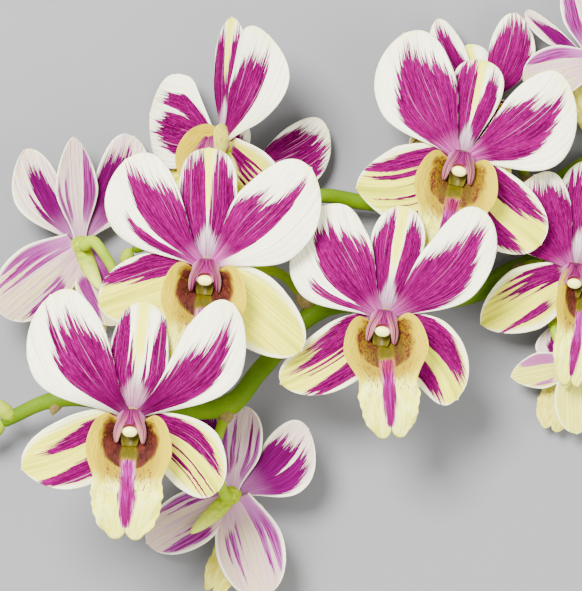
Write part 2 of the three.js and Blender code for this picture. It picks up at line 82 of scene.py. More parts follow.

# %% [markdown]
# ## Where the blooms sit
# Each row gives the hub's place and how the bloom is turned (yaw, then roll about its
# own face), and then what differs from the usual: the swing of the lip (sway) and of
# the chin (spur), the chin's length, the scale, the blades, and the marks that tune its
# paint. One mark paints light over the magenta of blooms that lie in shade and sets the
# tone of the blades' bases, dusk fills the lip's maroon blotches, and another paints shade
# over the pale backs of the sepals, turns their streaks lilac, and turns the backs straw
# yellow where it is below 0. The pedicel rows are points
# on the bloom's own little stalk.

# %% The twelve blooms
USUAL = dict(yaw=0, roll=0, sway=0, spur=0, chin=1, scale=1, glow=0.1, dusk=0.8, fade=0, wrap=1,
             midlobe=1, lip_width=1, lip_shift=(0, 0, 0), tepals={})
BLOOMS = {
    "bloom_01": dict(
        at=(-42.7, -33.1, 59), roll=3, dusk=0.9, glow=0,
        pedicel=[(-44, -33, 46), (-48, -31.5, 34), (-50, -30, 19)]),
    "bloom_02": dict(
        at=(-22.9, 7.2, 46), roll=4, glow=0.2, tepals=dict(lateral_left=dict(angle=-113, length=30)),
        pedicel=[(-21, 7.2, 37), (-13, 7.6, 25), (-2.7, 5.8, 17), (6, -3.5, 13.2)]),
    "bloom_03": dict(
        at=(25.1, -6.6, 38.5), roll=8, sway=-12, dusk=0.52, midlobe=0.86, glow=0.15,
        pedicel=[(26, -5.5, 26), (31, -3, 18), (37, -0.6, 9.6)]),
    "bloom_04": dict(
        at=(46.4, 36.9, 25), roll=12, dusk=0.45, midlobe=0.92, glow=0.3,
        pedicel=[(43.4, 36, 15.5), (41.5, 31, 11.5), (43, 24.4, 9.2)]),
    "bloom_05": dict(
        at=(-18.6, 41.2, 23.2), yaw=-48, wrap=1.6, dusk=0, lip_width=0.92, lip_shift=(0.8, 3.6, -1.8),
        tepals=dict(
            dorsal=dict(angle=1, length=34.5, width=13),
            petal_left=dict(angle=-74, length=31, width=26.5, widest=0.62, blunt=2.9, lean=0.05, hook=-0.02),
            petal_right=dict(angle=35, length=34.5, width=23.5, widest=0.72, blunt=2.8, round=2.3, hook=0.05),
            lateral_left=dict(angle=-112, length=27),
            lateral_right=dict(angle=132, length=27, width=17, curl=-25)),
        pedicel=[(-12.6, 39.5, 18.6), (-11, 34, 18.2), (-10.5, 28, 18), (-11, 22.4, 16.5)]),
    "bloom_06": dict(
        at=(-58.3, 13.9, 12.1), yaw=200, roll=5, spur=15, chin=1.25, fade=0.5, scale=0.88,
        tepals=dict(
            dorsal=dict(length=33.5, width=14, widest=0.5, blunt=1.5, round=1.6),
            petal_left=dict(angle=-37, length=38, width=18),
            petal_right=dict(angle=31, length=34, width=16.5, blunt=1.7, round=1.9),
            lateral_left=dict(angle=-160, length=27, width=15),
            lateral_right=dict(angle=122, length=34, width=22)),
        pedicel=[(-54.6, 15.0, 18.6), (-50.5, 10.1, 19.2), (-47.8, 4.5, 19), (-45.6, -1.2, 18),
                 (-42.1, -13.4, 17), (-41, -31, 19.4)]),
    "bloom_07": dict(
        at=(-16.2, -55.2, 12.63), yaw=160, roll=-15, sway=-12, spur=-30, chin=1.4, fade=1, scale=0.88,
        lip_width=0.6, lip_shift=(-3.6, -0.6, 0),
        tepals=dict(
            dorsal=dict(angle=5, length=28), petal_left=dict(angle=-41, length=32, width=20),
            petal_right=dict(angle=36, length=32, width=20),
            lateral_left=dict(angle=-144, length=33, width=23),
            lateral_right=dict(angle=134, length=31, width=18)),
        pedicel=[(-19.4, -52, 18.5), (-21.3, -44.4, 20), (-19.4, -36.9, 20), (-17, -30, 18.4)]),
    "bloom_08": dict(
        at=(78.0, 6.3, 16), roll=8, scale=0.97, glow=0.2, lip_width=0.66, lip_shift=(3, 0, 0),
        tepals=dict(petal_left=dict(angle=-37, length=29, width=21),
                    lateral_left=dict(angle=-127, length=29.5, width=18.5, blunt=1.45, round=1.7)),
        pedicel=[(75, 7.5, 11.5), (67, 8.8, 10.5), (60.5, 5.5, 7.6)]),
    "bloom_09": dict(
        at=(78.0, -19.0, 8), yaw=180, roll=-19, fade=-1, scale=0.6,
        tepals=dict(petal_right=dict(length=20), lateral_left=dict(angle=-158),
                    lateral_right=dict(length=28.5, width=17, blunt=1.4, round=1.6)),
        pedicel=[(75, -15, 12), (72, -6, 10), (73, 11, 6.4)]),
    "bloom_10": dict(
        at=(53.2, 51.7, 8.7), roll=-3, glow=0.35, scale=0.74,
        tepals=dict(dorsal=dict(angle=-10, length=24),
                    petal_left=dict(angle=-28, length=37, width=14, blunt=1.6, round=1.8),
                    petal_right=dict(angle=27, length=37, width=18, blunt=1.8, round=1.9)),
        pedicel=[(55, 49, 3.4), (62, 39, 3.6), (67, 28.5, 7.3)]),
    "bloom_11": dict(
        at=(83.4, 64.9, 10.6), yaw=180, roll=12, fade=0.6, scale=0.75,
        tepals=dict(petal_right=dict(angle=44, length=30, width=7), lateral_right=dict(angle=94, length=26)),
        pedicel=[(87, 63, 16), (93.5, 57, 16.2), (98, 46.5, 10.5), (95.5, 35, 4)]),
    "bloom_12": dict(
        at=(-13.8, 34.4, 7.5), roll=33, scale=0.56,
        tepals=dict(dorsal=dict(angle=14, length=12, width=10), petal_left=dict(length=22, width=16),
                    petal_right=dict(angle=38, length=47, width=31), lateral_left=dict(length=26),
                    lateral_right=dict(length=18)),
        pedicel=[(-13.4, 30, 2.6), (-11.5, 24.6, 3.2), (-9, 21.6, 9), (-9.5, 22.4, 16)]),
}
BLOOMS = {name: {**USUAL, **row} for name, row in BLOOMS.items()}
print("blooms:", len(BLOOMS))

# %% [markdown]
# The four blooms nearest to the eye get a closer look: each of their blades has its own
# outline, in the order of the keys.

# %% Fine outlines of the four front blooms
OUTLINE_KEYS = ("angle", "length", "width", "widest", "blunt", "round", "lean", "hook")
FINE_OUTLINES = {
    "bloom_01": dict(
        dorsal=(3.4, 31.1, 16.4, 0.4, 2.08, 2.54, 0, 0),
        petal_left=(-40.7, 38.9, 23.3, 0.63, 2.01, 2.31, -0.12, -0.14),
        petal_right=(39.5, 40.5, 19.5, 0.67, 1.36, 2.27, 0.25, 0.04),
        lateral_left=(-118.7, 31.7, 19.1, 0.47, 2.47, 1.59, -0.08, -0.04),
        lateral_right=(129.8, 29.4, 17.8, 0.62, 1.49, 2.37, -0.22, 0.09)),
    "bloom_02": dict(
        dorsal=(-2.7, 32.1, 16.0, 0.54, 3.2, 2.53, 0, 0),
        petal_left=(-42.7, 35.9, 21.5, 0.68, 2.39, 1.99, -0.13, -0.07),
        petal_right=(48.5, 38.5, 23.2, 0.53, 2.56, 1.96, 0.03, 0.19),
        lateral_right=(126.5, 33.3, 19.7, 0.45, 1.64, 2.19, 0.01, -0.01)),
    "bloom_03": dict(
        dorsal=(2.6, 30.6, 14.9, 0.69, 1.6, 2.6, 0, 0),
        petal_left=(-47.3, 34.3, 24.6, 0.6, 3.2, 1.27, -0.06, -0.22),
        petal_right=(35.6, 39.7, 18.6, 0.55, 2.52, 2.32, 0.21, 0.0),
        lateral_left=(-133.2, 32.2, 17.2, 0.4, 2.27, 2.03, -0.05, -0.11),
        lateral_right=(126.0, 28.8, 17.6, 0.43, 2.44, 2.59, -0.15, -0.09)),
    "bloom_04": dict(
        dorsal=(0.9, 27.6, 14.5, 0.72, 2.29, 2.51, 0, 0),
        petal_left=(-40.4, 37.4, 23.0, 0.59, 2.51, 2.03, -0.08, -0.13),
        petal_right=(51.9, 35.2, 24.0, 0.66, 1.88, 2.44, 0.07, 0.22),
        lateral_left=(-116.3, 28.8, 23.5, 0.51, 1.38, 1.62, -0.15, 0.01),
        lateral_right=(118.5, 31.0, 20.4, 0.57, 1.4, 2.5, 0.16, -0.15)),
}


def shape_of(name, kind):
    """A blade's plan, then what its bloom changes, then its fine outline."""
    fine = FINE_OUTLINES.get(name, {}).get(kind, ())
    return {**PLAN[kind], **BLOOMS[name]["tepals"].get(kind, {}), **dict(zip(OUTLINE_KEYS, fine))}


print("blades with their own outline:", sum(map(len, FINE_OUTLINES.values())))

# %% [markdown]
# ## How far the magenta reaches
# On these flowers each vein carries the magenta to its own length, and no two blades
# are alike. A row lists pairs in hundredths, vein:reach. The vein runs from -100 at the
# blade's upper edge to 100 at its lower edge (left to right on a dorsal sepal), and the
# reach is how far along the blade its paint goes. Blades without a row of their own use
# the usual reach, and every blade's paint begins where the second block says.

# %% Paint of the blades
PAINT_TABLE = """
[reach]
  dorsal -100:0 -90:50 -75:78 -50:90 -28:93 -18:50 0:15 16:40 28:86 50:92 75:75 92:40 100:0
  petal -100:40 -80:58 -50:72 -20:80 0:90 12:92 25:80 40:68 55:50 70:30 82:0
  lateral -95:10 -80:50 -60:80 -40:88 -20:80 -8:10 25:0 35:60 50:86 70:84 85:30 92:0
[begin]
  dorsal -100:14 -50:19 0:33 50:19 100:14
  petal -100:0 100:0
  lateral -100:0 0:5 25:28 100:34
[bloom_01]
  dorsal -100:0 -94:35 -86:74 -60:92 -45:95 -38:88 -31:45 -24:80 -18:35 -11:55 -5:15 10:0 20:30 25:80 31:35
    38:30 44:70 55:86 70:90 84:80 93:35 100:0
  petal_left -100:50 -80:60 -60:74 -40:79 -20:80 -5:78 4:70 10:93 20:94 26:60 32:74 40:70 46:30 52:0
  petal_right -100:20 -85:40 -70:50 -50:58 -35:67 -15:72 0:85 12:94 22:86 35:79 45:72 55:55 66:36 76:0
  lateral_left -78:0 -66:35 -50:60 -35:74 -22:82 -12:50 -5:0 15:0 24:50 34:60 42:86 56:93 70:88 82:50 90:0
  lateral_right -95:0 -80:35 -64:72 -48:86 -34:92 -22:80 -14:40 -8:0 10:0 13:100 19:100 22:0 33:0 36:105
    42:105 45:0 49:95 53:95 56:0
[bloom_02]
  dorsal -100:30 -92:75 -75:88 -50:95 -25:97 -12:90 -5:45 2:20 8:50 16:75 25:94 40:95 60:90 80:80 93:60
    100:30
  petal_left -100:50 -80:62 -50:75 -25:84 -5:93 10:90 18:80 25:30 32:25 40:35 46:68 56:66 66:50 76:38 86:0
  petal_right -100:35 -85:50 -70:60 -50:63 -35:58 -20:75 -5:86 4:95 12:80 20:30 26:0
  lateral_left -95:40 -80:86 -60:94 -46:90 -36:60 -28:70 -20:40 -12:0
  lateral_right -100:0
[bloom_03]
  dorsal -100:20 -92:66 -75:82 -50:90 -30:95 -20:90 -14:20 0:0 12:0 18:50 26:90 40:95 60:90 80:80 95:50
  petal_left -100:45 -80:58 -55:73 -40:70 -25:87 -10:82 5:87 15:88 25:75 33:55 38:15 50:30 57:63 66:56
    74:46 82:10
  petal_right -100:30 -80:50 -60:63 -40:70 -20:79 0:89 10:93 25:85 40:75 55:67 70:52 85:36 95:10
  lateral_left -95:20 -80:50 -60:66 -45:60 -30:86 -16:90 -10:20 -6:90 -1:90 3:0 7:0 9:85 13:85 17:0 30:20
    38:60 50:86 65:90 78:85 86:40 95:0
  lateral_right -95:20 -80:60 -60:86 -40:93 -20:88 -10:50 -4:0 24:0 32:60 42:88 60:91 75:80 86:30 92:0
[bloom_04]
  dorsal -100:30 -92:76 -75:90 -45:95 -20:97 -10:90 -2:30 10:10 18:70 25:55 35:86 50:91 70:88 86:60 100:0
  petal_left -100:50 -80:67 -60:75 -40:78 -20:88 0:91 15:87 30:79 45:68 60:57 75:42 90:15
  petal_right -100:35 -85:50 -70:61 -50:73 -30:70 -15:86 -2:94 10:89 25:79 40:67 55:48 66:30 76:0
  lateral_left -100:0 -90:0 -80:50 -66:80 -50:93 -44:90 -41:20 -38:20 -34:90 -24:84 -20:0 -10:0 -6:60 -3:60
    0:0 17:0 20:90 24:90 28:0 36:0 38:80 41:80 44:0 56:0 60:93 68:95 71:20 74:90 79:90 83:0
  lateral_right -100:0 -85:60 -65:86 -50:93 -35:70 -26:76 -15:0 10:0 18:40 26:76 36:86 50:93 65:90 78:60
    88:0
[bloom_05]
  dorsal -100:50 -80:84 -50:90 -25:84 -10:50 10:55 25:86 50:92 80:84 100:50
  petal_left -100:0 -70:30 -55:84 -30:86 -24:30 -16:78 0:86 35:86 60:70 75:40 85:0
  petal_right -100:42 -80:58 -60:68 -35:78 -10:82 8:86 24:86 32:80 38:30 42:0
  lateral_right -100:0 -50:0 -42:70 -30:30 -20:80 -10:20 0:80 10:20 20:85 30:10 40:75 50:0
[bloom_06]
  petal_left -100:60 -70:76 -30:84 0:90 15:84 25:50 35:72 55:60 70:0
  petal_right -100:0 -70:30 -50:72 -10:86 10:80 20:30 30:66 50:40 65:0
  dorsal -100:40 -80:70 -60:86 -40:90 -30:20 -20:0 30:0 40:50 50:70 60:20 80:60 100:50
  lateral_right -100:20 -86:80 -74:86 -68:30 -60:86 -48:90 -42:10 -34:80 -28:80 -20:0 30:0 40:76 46:20
    56:84 70:80 80:0
[bloom_07]
  dorsal -100:0 -90:60 -75:85 -62:20 -50:80 -40:90 -34:10 -10:10 0:70 8:10 20:80 32:90 40:20 60:80 80:86
    95:30
  lateral_left -100:40 -80:86 -66:90 -60:20 -50:84 -42:86 -36:0 12:0 20:70 26:10 36:80 42:80 50:20 60:70
    70:0
  lateral_right -100:30 -80:80 -70:84 -62:10 -50:80 -42:20 -30:0 20:0 30:80 36:20 50:88 70:88 86:50 95:0
  petal_left -100:50 -80:66 -50:74 -20:80 2:86 8:20 13:84 30:86 60:80 80:60 100:20
[bloom_08]
  dorsal -100:50 -60:85 -20:90 0:70 20:90 60:85 100:50
  petal_left -100:60 -80:78 -40:86 0:92 30:90 60:84 80:70 100:30
  lateral_left -90:0 -74:60 -62:30 -54:78 -44:30 -36:80 -26:50 -20:72 -14:10 -6:60 0:0 30:0 38:50 50:86
    60:80 68:0
[bloom_09]
  lateral_left -100:0
  lateral_right -100:20 -85:80 -60:90 -35:80 -25:0 50:0 60:60 76:70 86:0
[bloom_10]
  dorsal -100:0
  petal_left -100:30 -60:60 -30:86 0:96 30:86 60:60 100:30
  petal_right -100:50 -70:76 -30:92 0:95 30:95 60:90 85:60 100:40
[bloom_11]
  lateral_right -100:70 -85:92 -60:95 -48:86 -40:20 -30:0
[bloom_12]
  dorsal -100:0
  petal_right -100:30 -80:74 -50:86 -20:90 20:93 50:90 80:84 100:50
"""


def read_table(text):
    """Pairs by (bloom, blade) from a table in words."""
    table, name = {}, ""
    for word in text.split():
        if word.startswith("["):
            name = word.strip("[]")
        elif ":" in word:
            pairs.append([float(part) / 100 for part in word.split(":")])
        else:
            pairs = table[name, word] = []
    return table


PAINT = read_table(PAINT_TABLE)
print("blades with their own paint:", sum(name.startswith("bloom") for name, kind in PAINT))


def paint_marks(name, kind, vein):
    """How far along the blade the paint of each point's vein reaches, and where it starts."""
    family = kind.split("_")[0]
    rows = {"reach": PAINT.get((name, kind), PAINT["reach", family]), "begin": PAINT["begin", family]}
    return {key: np.interp(vein, *np.transpose(pairs)) for key, pairs in rows.items()}


# %% [markdown]
# ## Turning a bloom into its place
# A bloom is shaped face up round its own middle and then carried to its place on the
# spray: scaled, rolled, yawed and moved. Doing it to the points, not to the object,
# leaves every finished object at the origin.

# %% Place of a bloom
FLAT = 0.5


def turn(axis, degrees):
    a = math.radians(degrees)
    c, s = math.cos(a), math.sin(a)
    rows = {"y": [[c, 0, s], [0, 1, 0], [-s, 0, c]], "z": [[c, -s, 0], [s, c, 0], [0, 0, 1]]}
    return np.array(rows[axis])


def placed(points, bloom):
    """Points of a bloom's own frame, in the spray's frame; what meets the floor lies flat on it."""
    rotation = turn("y", bloom["yaw"]) @ turn("z", -bloom["roll"])
    points = (points * bloom["scale"]) @ rotation.T + np.array(bloom["at"]) + SPRAY_SHIFT
    height = points[..., 2]
    points[..., 2] = np.where(height < FLAT, FLAT * np.exp(np.minimum(height / FLAT - 1, 0)), height)
    return points


print("bloom_01 sits at", placed(np.zeros(3), BLOOMS["bloom_01"]).round(1), "mm")

# %% [markdown]
# ## Sheets with two faces and a soft rim
# A petal is a thin sheet. It could be one surface with a Solidify modifier, but its rim
# would be square. Here each sheet is a grid of points carried out both ways along its
# own normal, by a thickness that falls to nothing at the rim, so both faces meet in a
# fine rounded edge, as on the flower.

# %% A grid with two faces
def grid(rows, columns):
    return np.meshgrid(rows, columns, indexing="ij")


def smooth(value, low, high):
    share = np.clip((value - low) / (high - low), 0, 1)
    return share * share * (3 - 2 * share)


def rounding(place, power):
    """1 in the middle, falling to 0 where the place nears -1 or 1; a high power falls late."""
    return np.sqrt(np.clip(1 - np.abs(place) ** power, 0, 1))


def two_faced(points, half_thickness, marks, front=(1.0, 0.0)):
    """Vertices, quads and marks of both faces, from a grid of points and its half thickness."""
    rows, columns = points.shape[:2]
    normal = np.cross(np.gradient(points, axis=1), np.gradient(points, axis=0))
    normal /= np.maximum(np.linalg.norm(normal, axis=-1, keepdims=True), 1e-9)
    offset = normal * half_thickness[..., None]
    vertices = np.concatenate([(points + offset).reshape(-1, 3), (points - offset).reshape(-1, 3)])
    index = np.arange(rows * columns).reshape(rows, columns)
    quads = np.stack([index[:-1, :-1], index[:-1, 1:], index[1:, 1:], index[1:, :-1]], -1).reshape(-1, 4)
    quads = np.concatenate([quads, quads[:, ::-1] + rows * columns])
    both = {key: np.tile(value.ravel(), 2) for key, value in marks.items()}
    return vertices, quads, {"front": np.repeat(front, rows * columns), **both}


test_grid = np.stack([*grid(range(3), range(3)), np.zeros((3, 3))], -1)
print("a 3 by 3 sheet has", len(two_faced(test_grid, np.full((3, 3), 0.1), {})[1]), "quads")

# %% [markdown]
# ## The outline and curve of a blade
# The outline is a sine rise from the claw to the widest place, and then a rounded fall
# to the tip. The blade's middle line is an arc, from its slope at the base to its slope
# at the tip. Small waves along the margins and a fine groove over the midrib come on
# top of that.

# %% Points on a blade
def outline(shape, u):
    rise = np.sin(np.pi / 2 * np.clip(u / shape["widest"], 0, 1)) ** shape["taper"]
    fall = np.clip((u - shape["widest"]) / (1 - shape["widest"]), 0, 1)
    tip = np.maximum(0, 1 - (1.03 * fall) ** shape["blunt"]) ** (1 / shape["round"])
    tip = np.maximum(tip, shape["point"] * np.clip((1 - u) / 0.05, 0, 1))
    return np.where(u < shape["widest"], shape["claw"] + (1 - shape["claw"]) * rise, tip)


def blade_points(shape, u, v, phase):
    angle, lift, curl = (math.radians(shape[key]) for key in ("angle", "lift", "curl"))
    out = np.array([math.sin(angle), math.cos(angle)])
    side = np.array([math.cos(angle), -math.sin(angle)])
    half = 0.5 * shape["width"] * outline(shape, u)
    slope = lift + curl * u
    rise = shape["cup"] * half * v * v
    run = shape["length"] * (np.sin(slope) - math.sin(lift)) / curl
    climb = shape["length"] * (math.cos(lift) - np.cos(slope)) / curl
    margin = np.abs(v) ** 2.2 * smooth(u, 0.15, 0.5)
    ruffle = shape["wave"] * margin * np.sin(2 * np.pi * (1.7 * u + phase + 0.3 * np.sign(v)))
    groove = -0.28 * np.exp(-((v / 0.07) ** 2)) * smooth(u, 0, 0.15) * (1 - u)
    along = BASE_REACH + run - rise * np.sin(slope)
    height = shape["layer"] + climb + rise * np.cos(slope) + ruffle + groove
    across = v * half + (shape["lean"] * np.sin(np.pi * u) - shape["hook"] * u ** 4) * shape["width"]
    flat = along[..., None] * out + across[..., None] * side
    return np.concatenate([flat, height[..., None]], -1), half


half_width = float(outline(PETAL, np.array(PETAL["widest"]))) * PETAL["width"] / 2
print("a petal's half width at its widest:", round(half_width, 1), "mm")

# %% [markdown]
# ## Vein lines
# The streaks follow the veins. Veins fan out from the claw as the blade widens, then
# run on side by side and end at the margin, so they don't crowd together at the tip.
# Each point therefore remembers its vein (from -1 at the dorsal side to +1), how far
# along the blade it lies, and how near it is to the rim.

# %% One finished blade
BLADE_ROWS, BLADE_COLUMNS = 46, 46
BLADE_HALF = 0.24


def blade(shape, phase):
    u_line = np.sin(np.pi / 2 * np.linspace(0, 1, BLADE_ROWS)) ** 1.1
    even = np.linspace(-1, 1, BLADE_COLUMNS + 1)
    u, v = grid(u_line, 0.6 * even + 0.4 * np.sin(np.pi / 2 * even))
    points, half = blade_points(shape, u, v, phase)
    rim = rounding(v, 8) * rounding(u, 24) * np.sqrt(np.clip(u / 0.04, 0, 1))
    fan = 0.5 * shape["width"] * outline(shape, np.minimum(u, shape["widest"]))
    across = shape["hand"] * v
    return two_faced(points, BLADE_HALF * rim, {"vein": across * half / fan, "along": u, "across": across})


print("a petal has", len(blade(PETAL, 0)[1]), "quads")

# %% [markdown]
# ## The heart of a bloom
# Behind the column the five blades grow from one small knob, the top of the ovary, and
# below it points a hollow chin, the mentum. Both are round in section, so they are made
# by carrying a ring along a line while its radius changes.

# %% Rings carried along a line
HUB_RINGS, HUB_SIDES, CHIN_RINGS, CHIN_SIDES = 22, 24, 18, 20
HUB_PROFILE = [(0.0, HUB_BACK), (1.7, HUB_BACK), (2.6, -1.9), (HUB_RADIUS, -0.2), (2.5, 0.75), (0.0, 1.0)]
CHIN_STATIONS = [(0.5, -0.8, 2.0), (-4.5, -1.3, 2.4), (-9.0, -3.6, 1.7), (-12.0, -6.0, 0.7)]
ACROSS = np.array([1.0, 0.0, 0.0])


def angles(sides):
    return np.linspace(0, 2 * np.pi, sides, endpoint=False)


def carried_ring(centres, up, wide, deep, sides, grow=1.0):
    """Vertices and quads of a closed body through rings; the ends shrink to nothing."""
    theta = angles(sides)
    points = (centres[:, None] + ACROSS * (wide[:, None] * np.cos(theta) * grow)[..., None]
              + up[:, None] * (deep[:, None] * np.sin(theta) * grow)[..., None])
    index = np.arange(len(centres) * sides).reshape(-1, sides)
    following = np.roll(index, -1, axis=1)
    quads = np.stack([index[:-1], following[:-1], following[1:], index[1:]], -1).reshape(-1, 4)
    return points.reshape(-1, 3), quads


def spline(knots, rows, t):
    """A smooth curve through rows at their knots, read at t."""
    slopes = np.gradient(rows, knots, axis=0)
    cell = np.clip(np.searchsorted(knots, t, side="right") - 1, 0, len(knots) - 2)
    step = (knots[cell + 1] - knots[cell])[..., None]
    s = (t - knots[cell])[..., None] / step
    return ((2 * s**3 - 3 * s**2 + 1) * rows[cell] + (s**3 - 2 * s**2 + s) * step * slopes[cell]
            + (3 * s**2 - 2 * s**3) * rows[cell + 1] + (s**3 - s**2) * step * slopes[cell + 1])


def along_line(points, count):
    """Evenly spread rows of a smooth line through the given rows."""
    return spline(np.linspace(0, 1, len(points)), np.asarray(points, float), np.linspace(0, 1, count))


def hub_body():
    line = along_line(HUB_PROFILE, HUB_RINGS)
    line[0, 0] = line[-1, 0] = 0
    radius, z = np.clip(line[:, 0], 0, None), line[:, 1]
    up = np.tile([0.0, 1.0, 0.0], (HUB_RINGS, 1))
    vertices, quads = carried_ring(np.stack([0 * z, 0 * z, z], -1), up, radius, radius, HUB_SIDES)
    return vertices, quads, {"along": np.repeat((z - HUB_BACK) / (HUB_FRONT - HUB_BACK), HUB_SIDES)}


def chin_body(spur, stretch):
    rows = along_line(CHIN_STATIONS, CHIN_RINGS)
    rows[:, 0] *= np.where(rows[:, 0] < 0, stretch, 1)
    radius = rows[:, 2] * rounding(np.linspace(0, 1, CHIN_RINGS), 14)
    radius[0] = 0
    centres = np.stack([0 * radius, rows[:, 0], rows[:, 1]], -1)
    along = np.gradient(centres, axis=0)
    along /= np.linalg.norm(along, axis=1, keepdims=True)
    vertices, quads = carried_ring(centres, np.cross(along, ACROSS), radius * 1.15, radius, CHIN_SIDES)
    return vertices @ turn("z", -spur).T, quads, {"along": np.repeat(np.linspace(0.3, -1, CHIN_RINGS), CHIN_SIDES)}


print("hub quads:", len(hub_body()[1]), " chin quads:", len(chin_body(0, 1)[1]))

# %% [markdown]
# ## The lip
# The lip is the third petal, made over into a landing place. Its side lobes stand up on
# both sides of the column and its midlobe lies out in front, crinkled at the margin and
# notched at the tip. The middle line is a Bezier curve, and at each place along it the
# lip has a half width and is rolled up by some angle. Wrap rolls the side lobes further
# in, and midlobe narrows the part in front.

# %% Points on the lip
LIP_LINE = np.array([(-4.9, 2.2), (-9.5, 7.0), (-20.5, 9.4), (-32.2, 3.2)])
LIP_STATIONS = np.array([  # u, half width, roll of the margin, sweep back of the margin
    (0.0, 4.6, 78, 4.0), (0.12, 9.2, 78, 6.4), (0.25, 12.6, 68, 6.0), (0.38, 12.7, 44, 3.4),
    (0.52, 9.6, 26, 0.8), (0.64, 9.7, 12, 0.0), (0.78, 8.7, 4, -0.4), (0.9, 7.0, -6, -1.0),
    (1.0, 4.9, -12, -1.3)])
LIP_ROWS, LIP_COLUMNS = 76, 60
LIP_HALF = 0.26
KEELS = (-0.13, 0.0, 0.13)


def wave(turns):
    return np.sin(2 * np.pi * turns)


def lip_points(u, v, phase, wrap, midlobe):
    half, roll, sweep = np.moveaxis(spline(LIP_STATIONS[:, 0], LIP_STATIONS[:, 1:], u), -1, 0)
    half = half * (1 + (midlobe - 1) * smooth(u, 0.36, 0.56))
    roll = roll * (1 + (wrap - 1) * (1 - smooth(u, 0.3, 0.6)))
    outer = smooth(u, 0.45, 0.62)
    scallop = 0.016 * outer * (wave(6.3 * u + phase) + wave(13.7 * u + 3 * phase))
    half = half * (1 + scallop * v * v)
    bend = np.where(np.abs(roll) < 0.06, 0.06, roll) * math.pi / 180
    across = half / bend * np.sin(bend * v)
    rise = half / bend * (1 - np.cos(bend * v))
    t = u[..., None]
    p0, p1, p2, p3 = LIP_LINE
    middle = (1 - t) ** 3 * p0 + 3 * t * (1 - t) ** 2 * p1 + 3 * t**2 * (1 - t) * p2 + t**3 * p3
    slope = 3 * ((1 - t) ** 2 * (p1 - p0) + 2 * t * (1 - t) * (p2 - p1) + t**2 * (p3 - p2))
    slope /= np.linalg.norm(slope, axis=-1, keepdims=True)
    notch = 2.3 * np.exp(-np.abs(v / 0.2) ** 1.3) * smooth(u, 0.86, 1.0)
    corner = 2.6 * np.abs(v) ** 4 * smooth(u, 0.85, 1.0)
    swept = middle - (sweep * v * v + notch + corner)[..., None] * slope
    crinkle = outer * (0.5 * np.abs(v) ** 2.5 * wave(4.3 * u + 0.9 * v + phase)
                       + 0.25 * wave(2.6 * v + 3.1 * u + 2 * phase) * np.abs(v))
    keels = sum(0.5 * np.exp(-(((v - place) / 0.05) ** 2)) for place in KEELS)
    relief = crinkle + keels * smooth(u, 0.1, 0.22) * (1 - smooth(u, 0.5, 0.68))
    y = swept[..., 0] + rise * slope[..., 1]
    z = swept[..., 1] - rise * slope[..., 0] + relief
    return np.stack([across, y, z], -1)


def lip_body(bloom, phase):
    u, v = grid(np.linspace(0, 1, LIP_ROWS), np.sin(np.pi / 2 * np.linspace(-1, 1, LIP_COLUMNS + 1)))
    rim = rounding(v, 10) * rounding(2 * u - 1, 30)
    points = lip_points(u, v, phase, bloom["wrap"], bloom["midlobe"])
    vertices, quads, marks = two_faced(points, LIP_HALF * rim, {"along": u, "across": v}, front=(0.0, 1.0))
    vertices = vertices @ turn("z", -bloom["sway"]).T * [bloom["lip_width"], 1, 1] + bloom["lip_shift"]
    return vertices, quads, marks


print("lip quads:", len(lip_body(USUAL, 0)[1]))

# %% [markdown]
# ## The column and the anther cap
# The column joins stamen and pistil. It is a short, hooded body: round on its back,
# hollowed in front where the stigma is, with a small tooth at either side of the anther
# cap, a waxy cream knob at its end. Two fleshy wings run down beside cap and stigma.

# %% Column
COLUMN_STATIONS = [(0.2, 0.9, 3.7, 2.7), (0.0, 2.2, 3.8, 2.9), (-0.5, 4.2, 3.6, 2.7),
                   (-1.6, 6.2, 3.1, 2.3), (-2.5, 7.3, 2.3, 1.8)]
COLUMN_TUCK = np.array([(0.8, -0.5), (0.5, -1.1), (0.0, -1.3)])
COLUMN_RINGS, COLUMN_SIDES = 20, 40
COLUMN_END = np.array([0.0, -2.5, 7.3])
COLUMN_AXIS = np.array([0.0, -0.9, 1.1]) / math.hypot(0.9, 1.1)


def column_body():
    line = along_line(COLUMN_STATIONS, COLUMN_RINGS)
    inner = [np.r_[COLUMN_END[1:] + depth * COLUMN_AXIS[1:], line[-1, 2:] * share] for share, depth in COLUMN_TUCK]
    stations = np.vstack([line, inner])
    stations[0, 2:] = 0
    t = np.r_[np.linspace(0, 1, COLUMN_RINGS), np.full(len(inner), 1.05)]
    lean = np.clip(t, 0, 1)[:, None]
    axis = (1 - lean) * np.array([0.0, 0, 1]) + lean * COLUMN_AXIS
    up = np.cross(axis / np.linalg.norm(axis, axis=1, keepdims=True), ACROSS)
    hood = 1 - smooth(t, 0.25, 0.7)[:, None] * 0.75 * np.clip(-np.sin(angles(COLUMN_SIDES)), 0, 1) ** 2
    centres = np.stack([0 * t, stations[:, 0], stations[:, 1]], -1)
    vertices, quads = carried_ring(centres, up, stations[:, 2], stations[:, 3], COLUMN_SIDES, hood)
    theta, t = np.tile(angles(COLUMN_SIDES), len(t)), np.repeat(t, COLUMN_SIDES)
    flank = np.abs(np.cos(theta))
    tooth = np.exp(-(((flank - 1) / 0.12) ** 2)) * smooth(t, 0.8, 1.0) * (t < 1.01)
    vertices = vertices + tooth[:, None] * 1.3 * COLUMN_AXIS
    return vertices, quads, {"along": t, "across": np.sin(theta), "front": flank}


print("column quads:", len(column_body()[1]))

# %% Wings, stigma and cap
WING_OUTER = [(2.3, 2.6, 4.0), (3.3, 0.5, 5.0), (4.2, -2.2, 5.8), (4.35, -4.4, 6.0), (3.8, -6.4, 5.6)]
WING_INNER = [(0.3, 2.3, 5.2), (0.75, 0.3, 7.2), (1.95, -1.9, 8.4), (2.5, -4.2, 7.6), (3.3, -6.1, 6.0)]
WING_ROWS, WING_COLUMNS = 26, 12
CAP_WIDE, CAP_DEEP, CAP_HIGH, SEAT_GAP = 2.0, 1.55, 1.9, 0.3
CAP_RINGS, CAP_SIDES = 16, 28


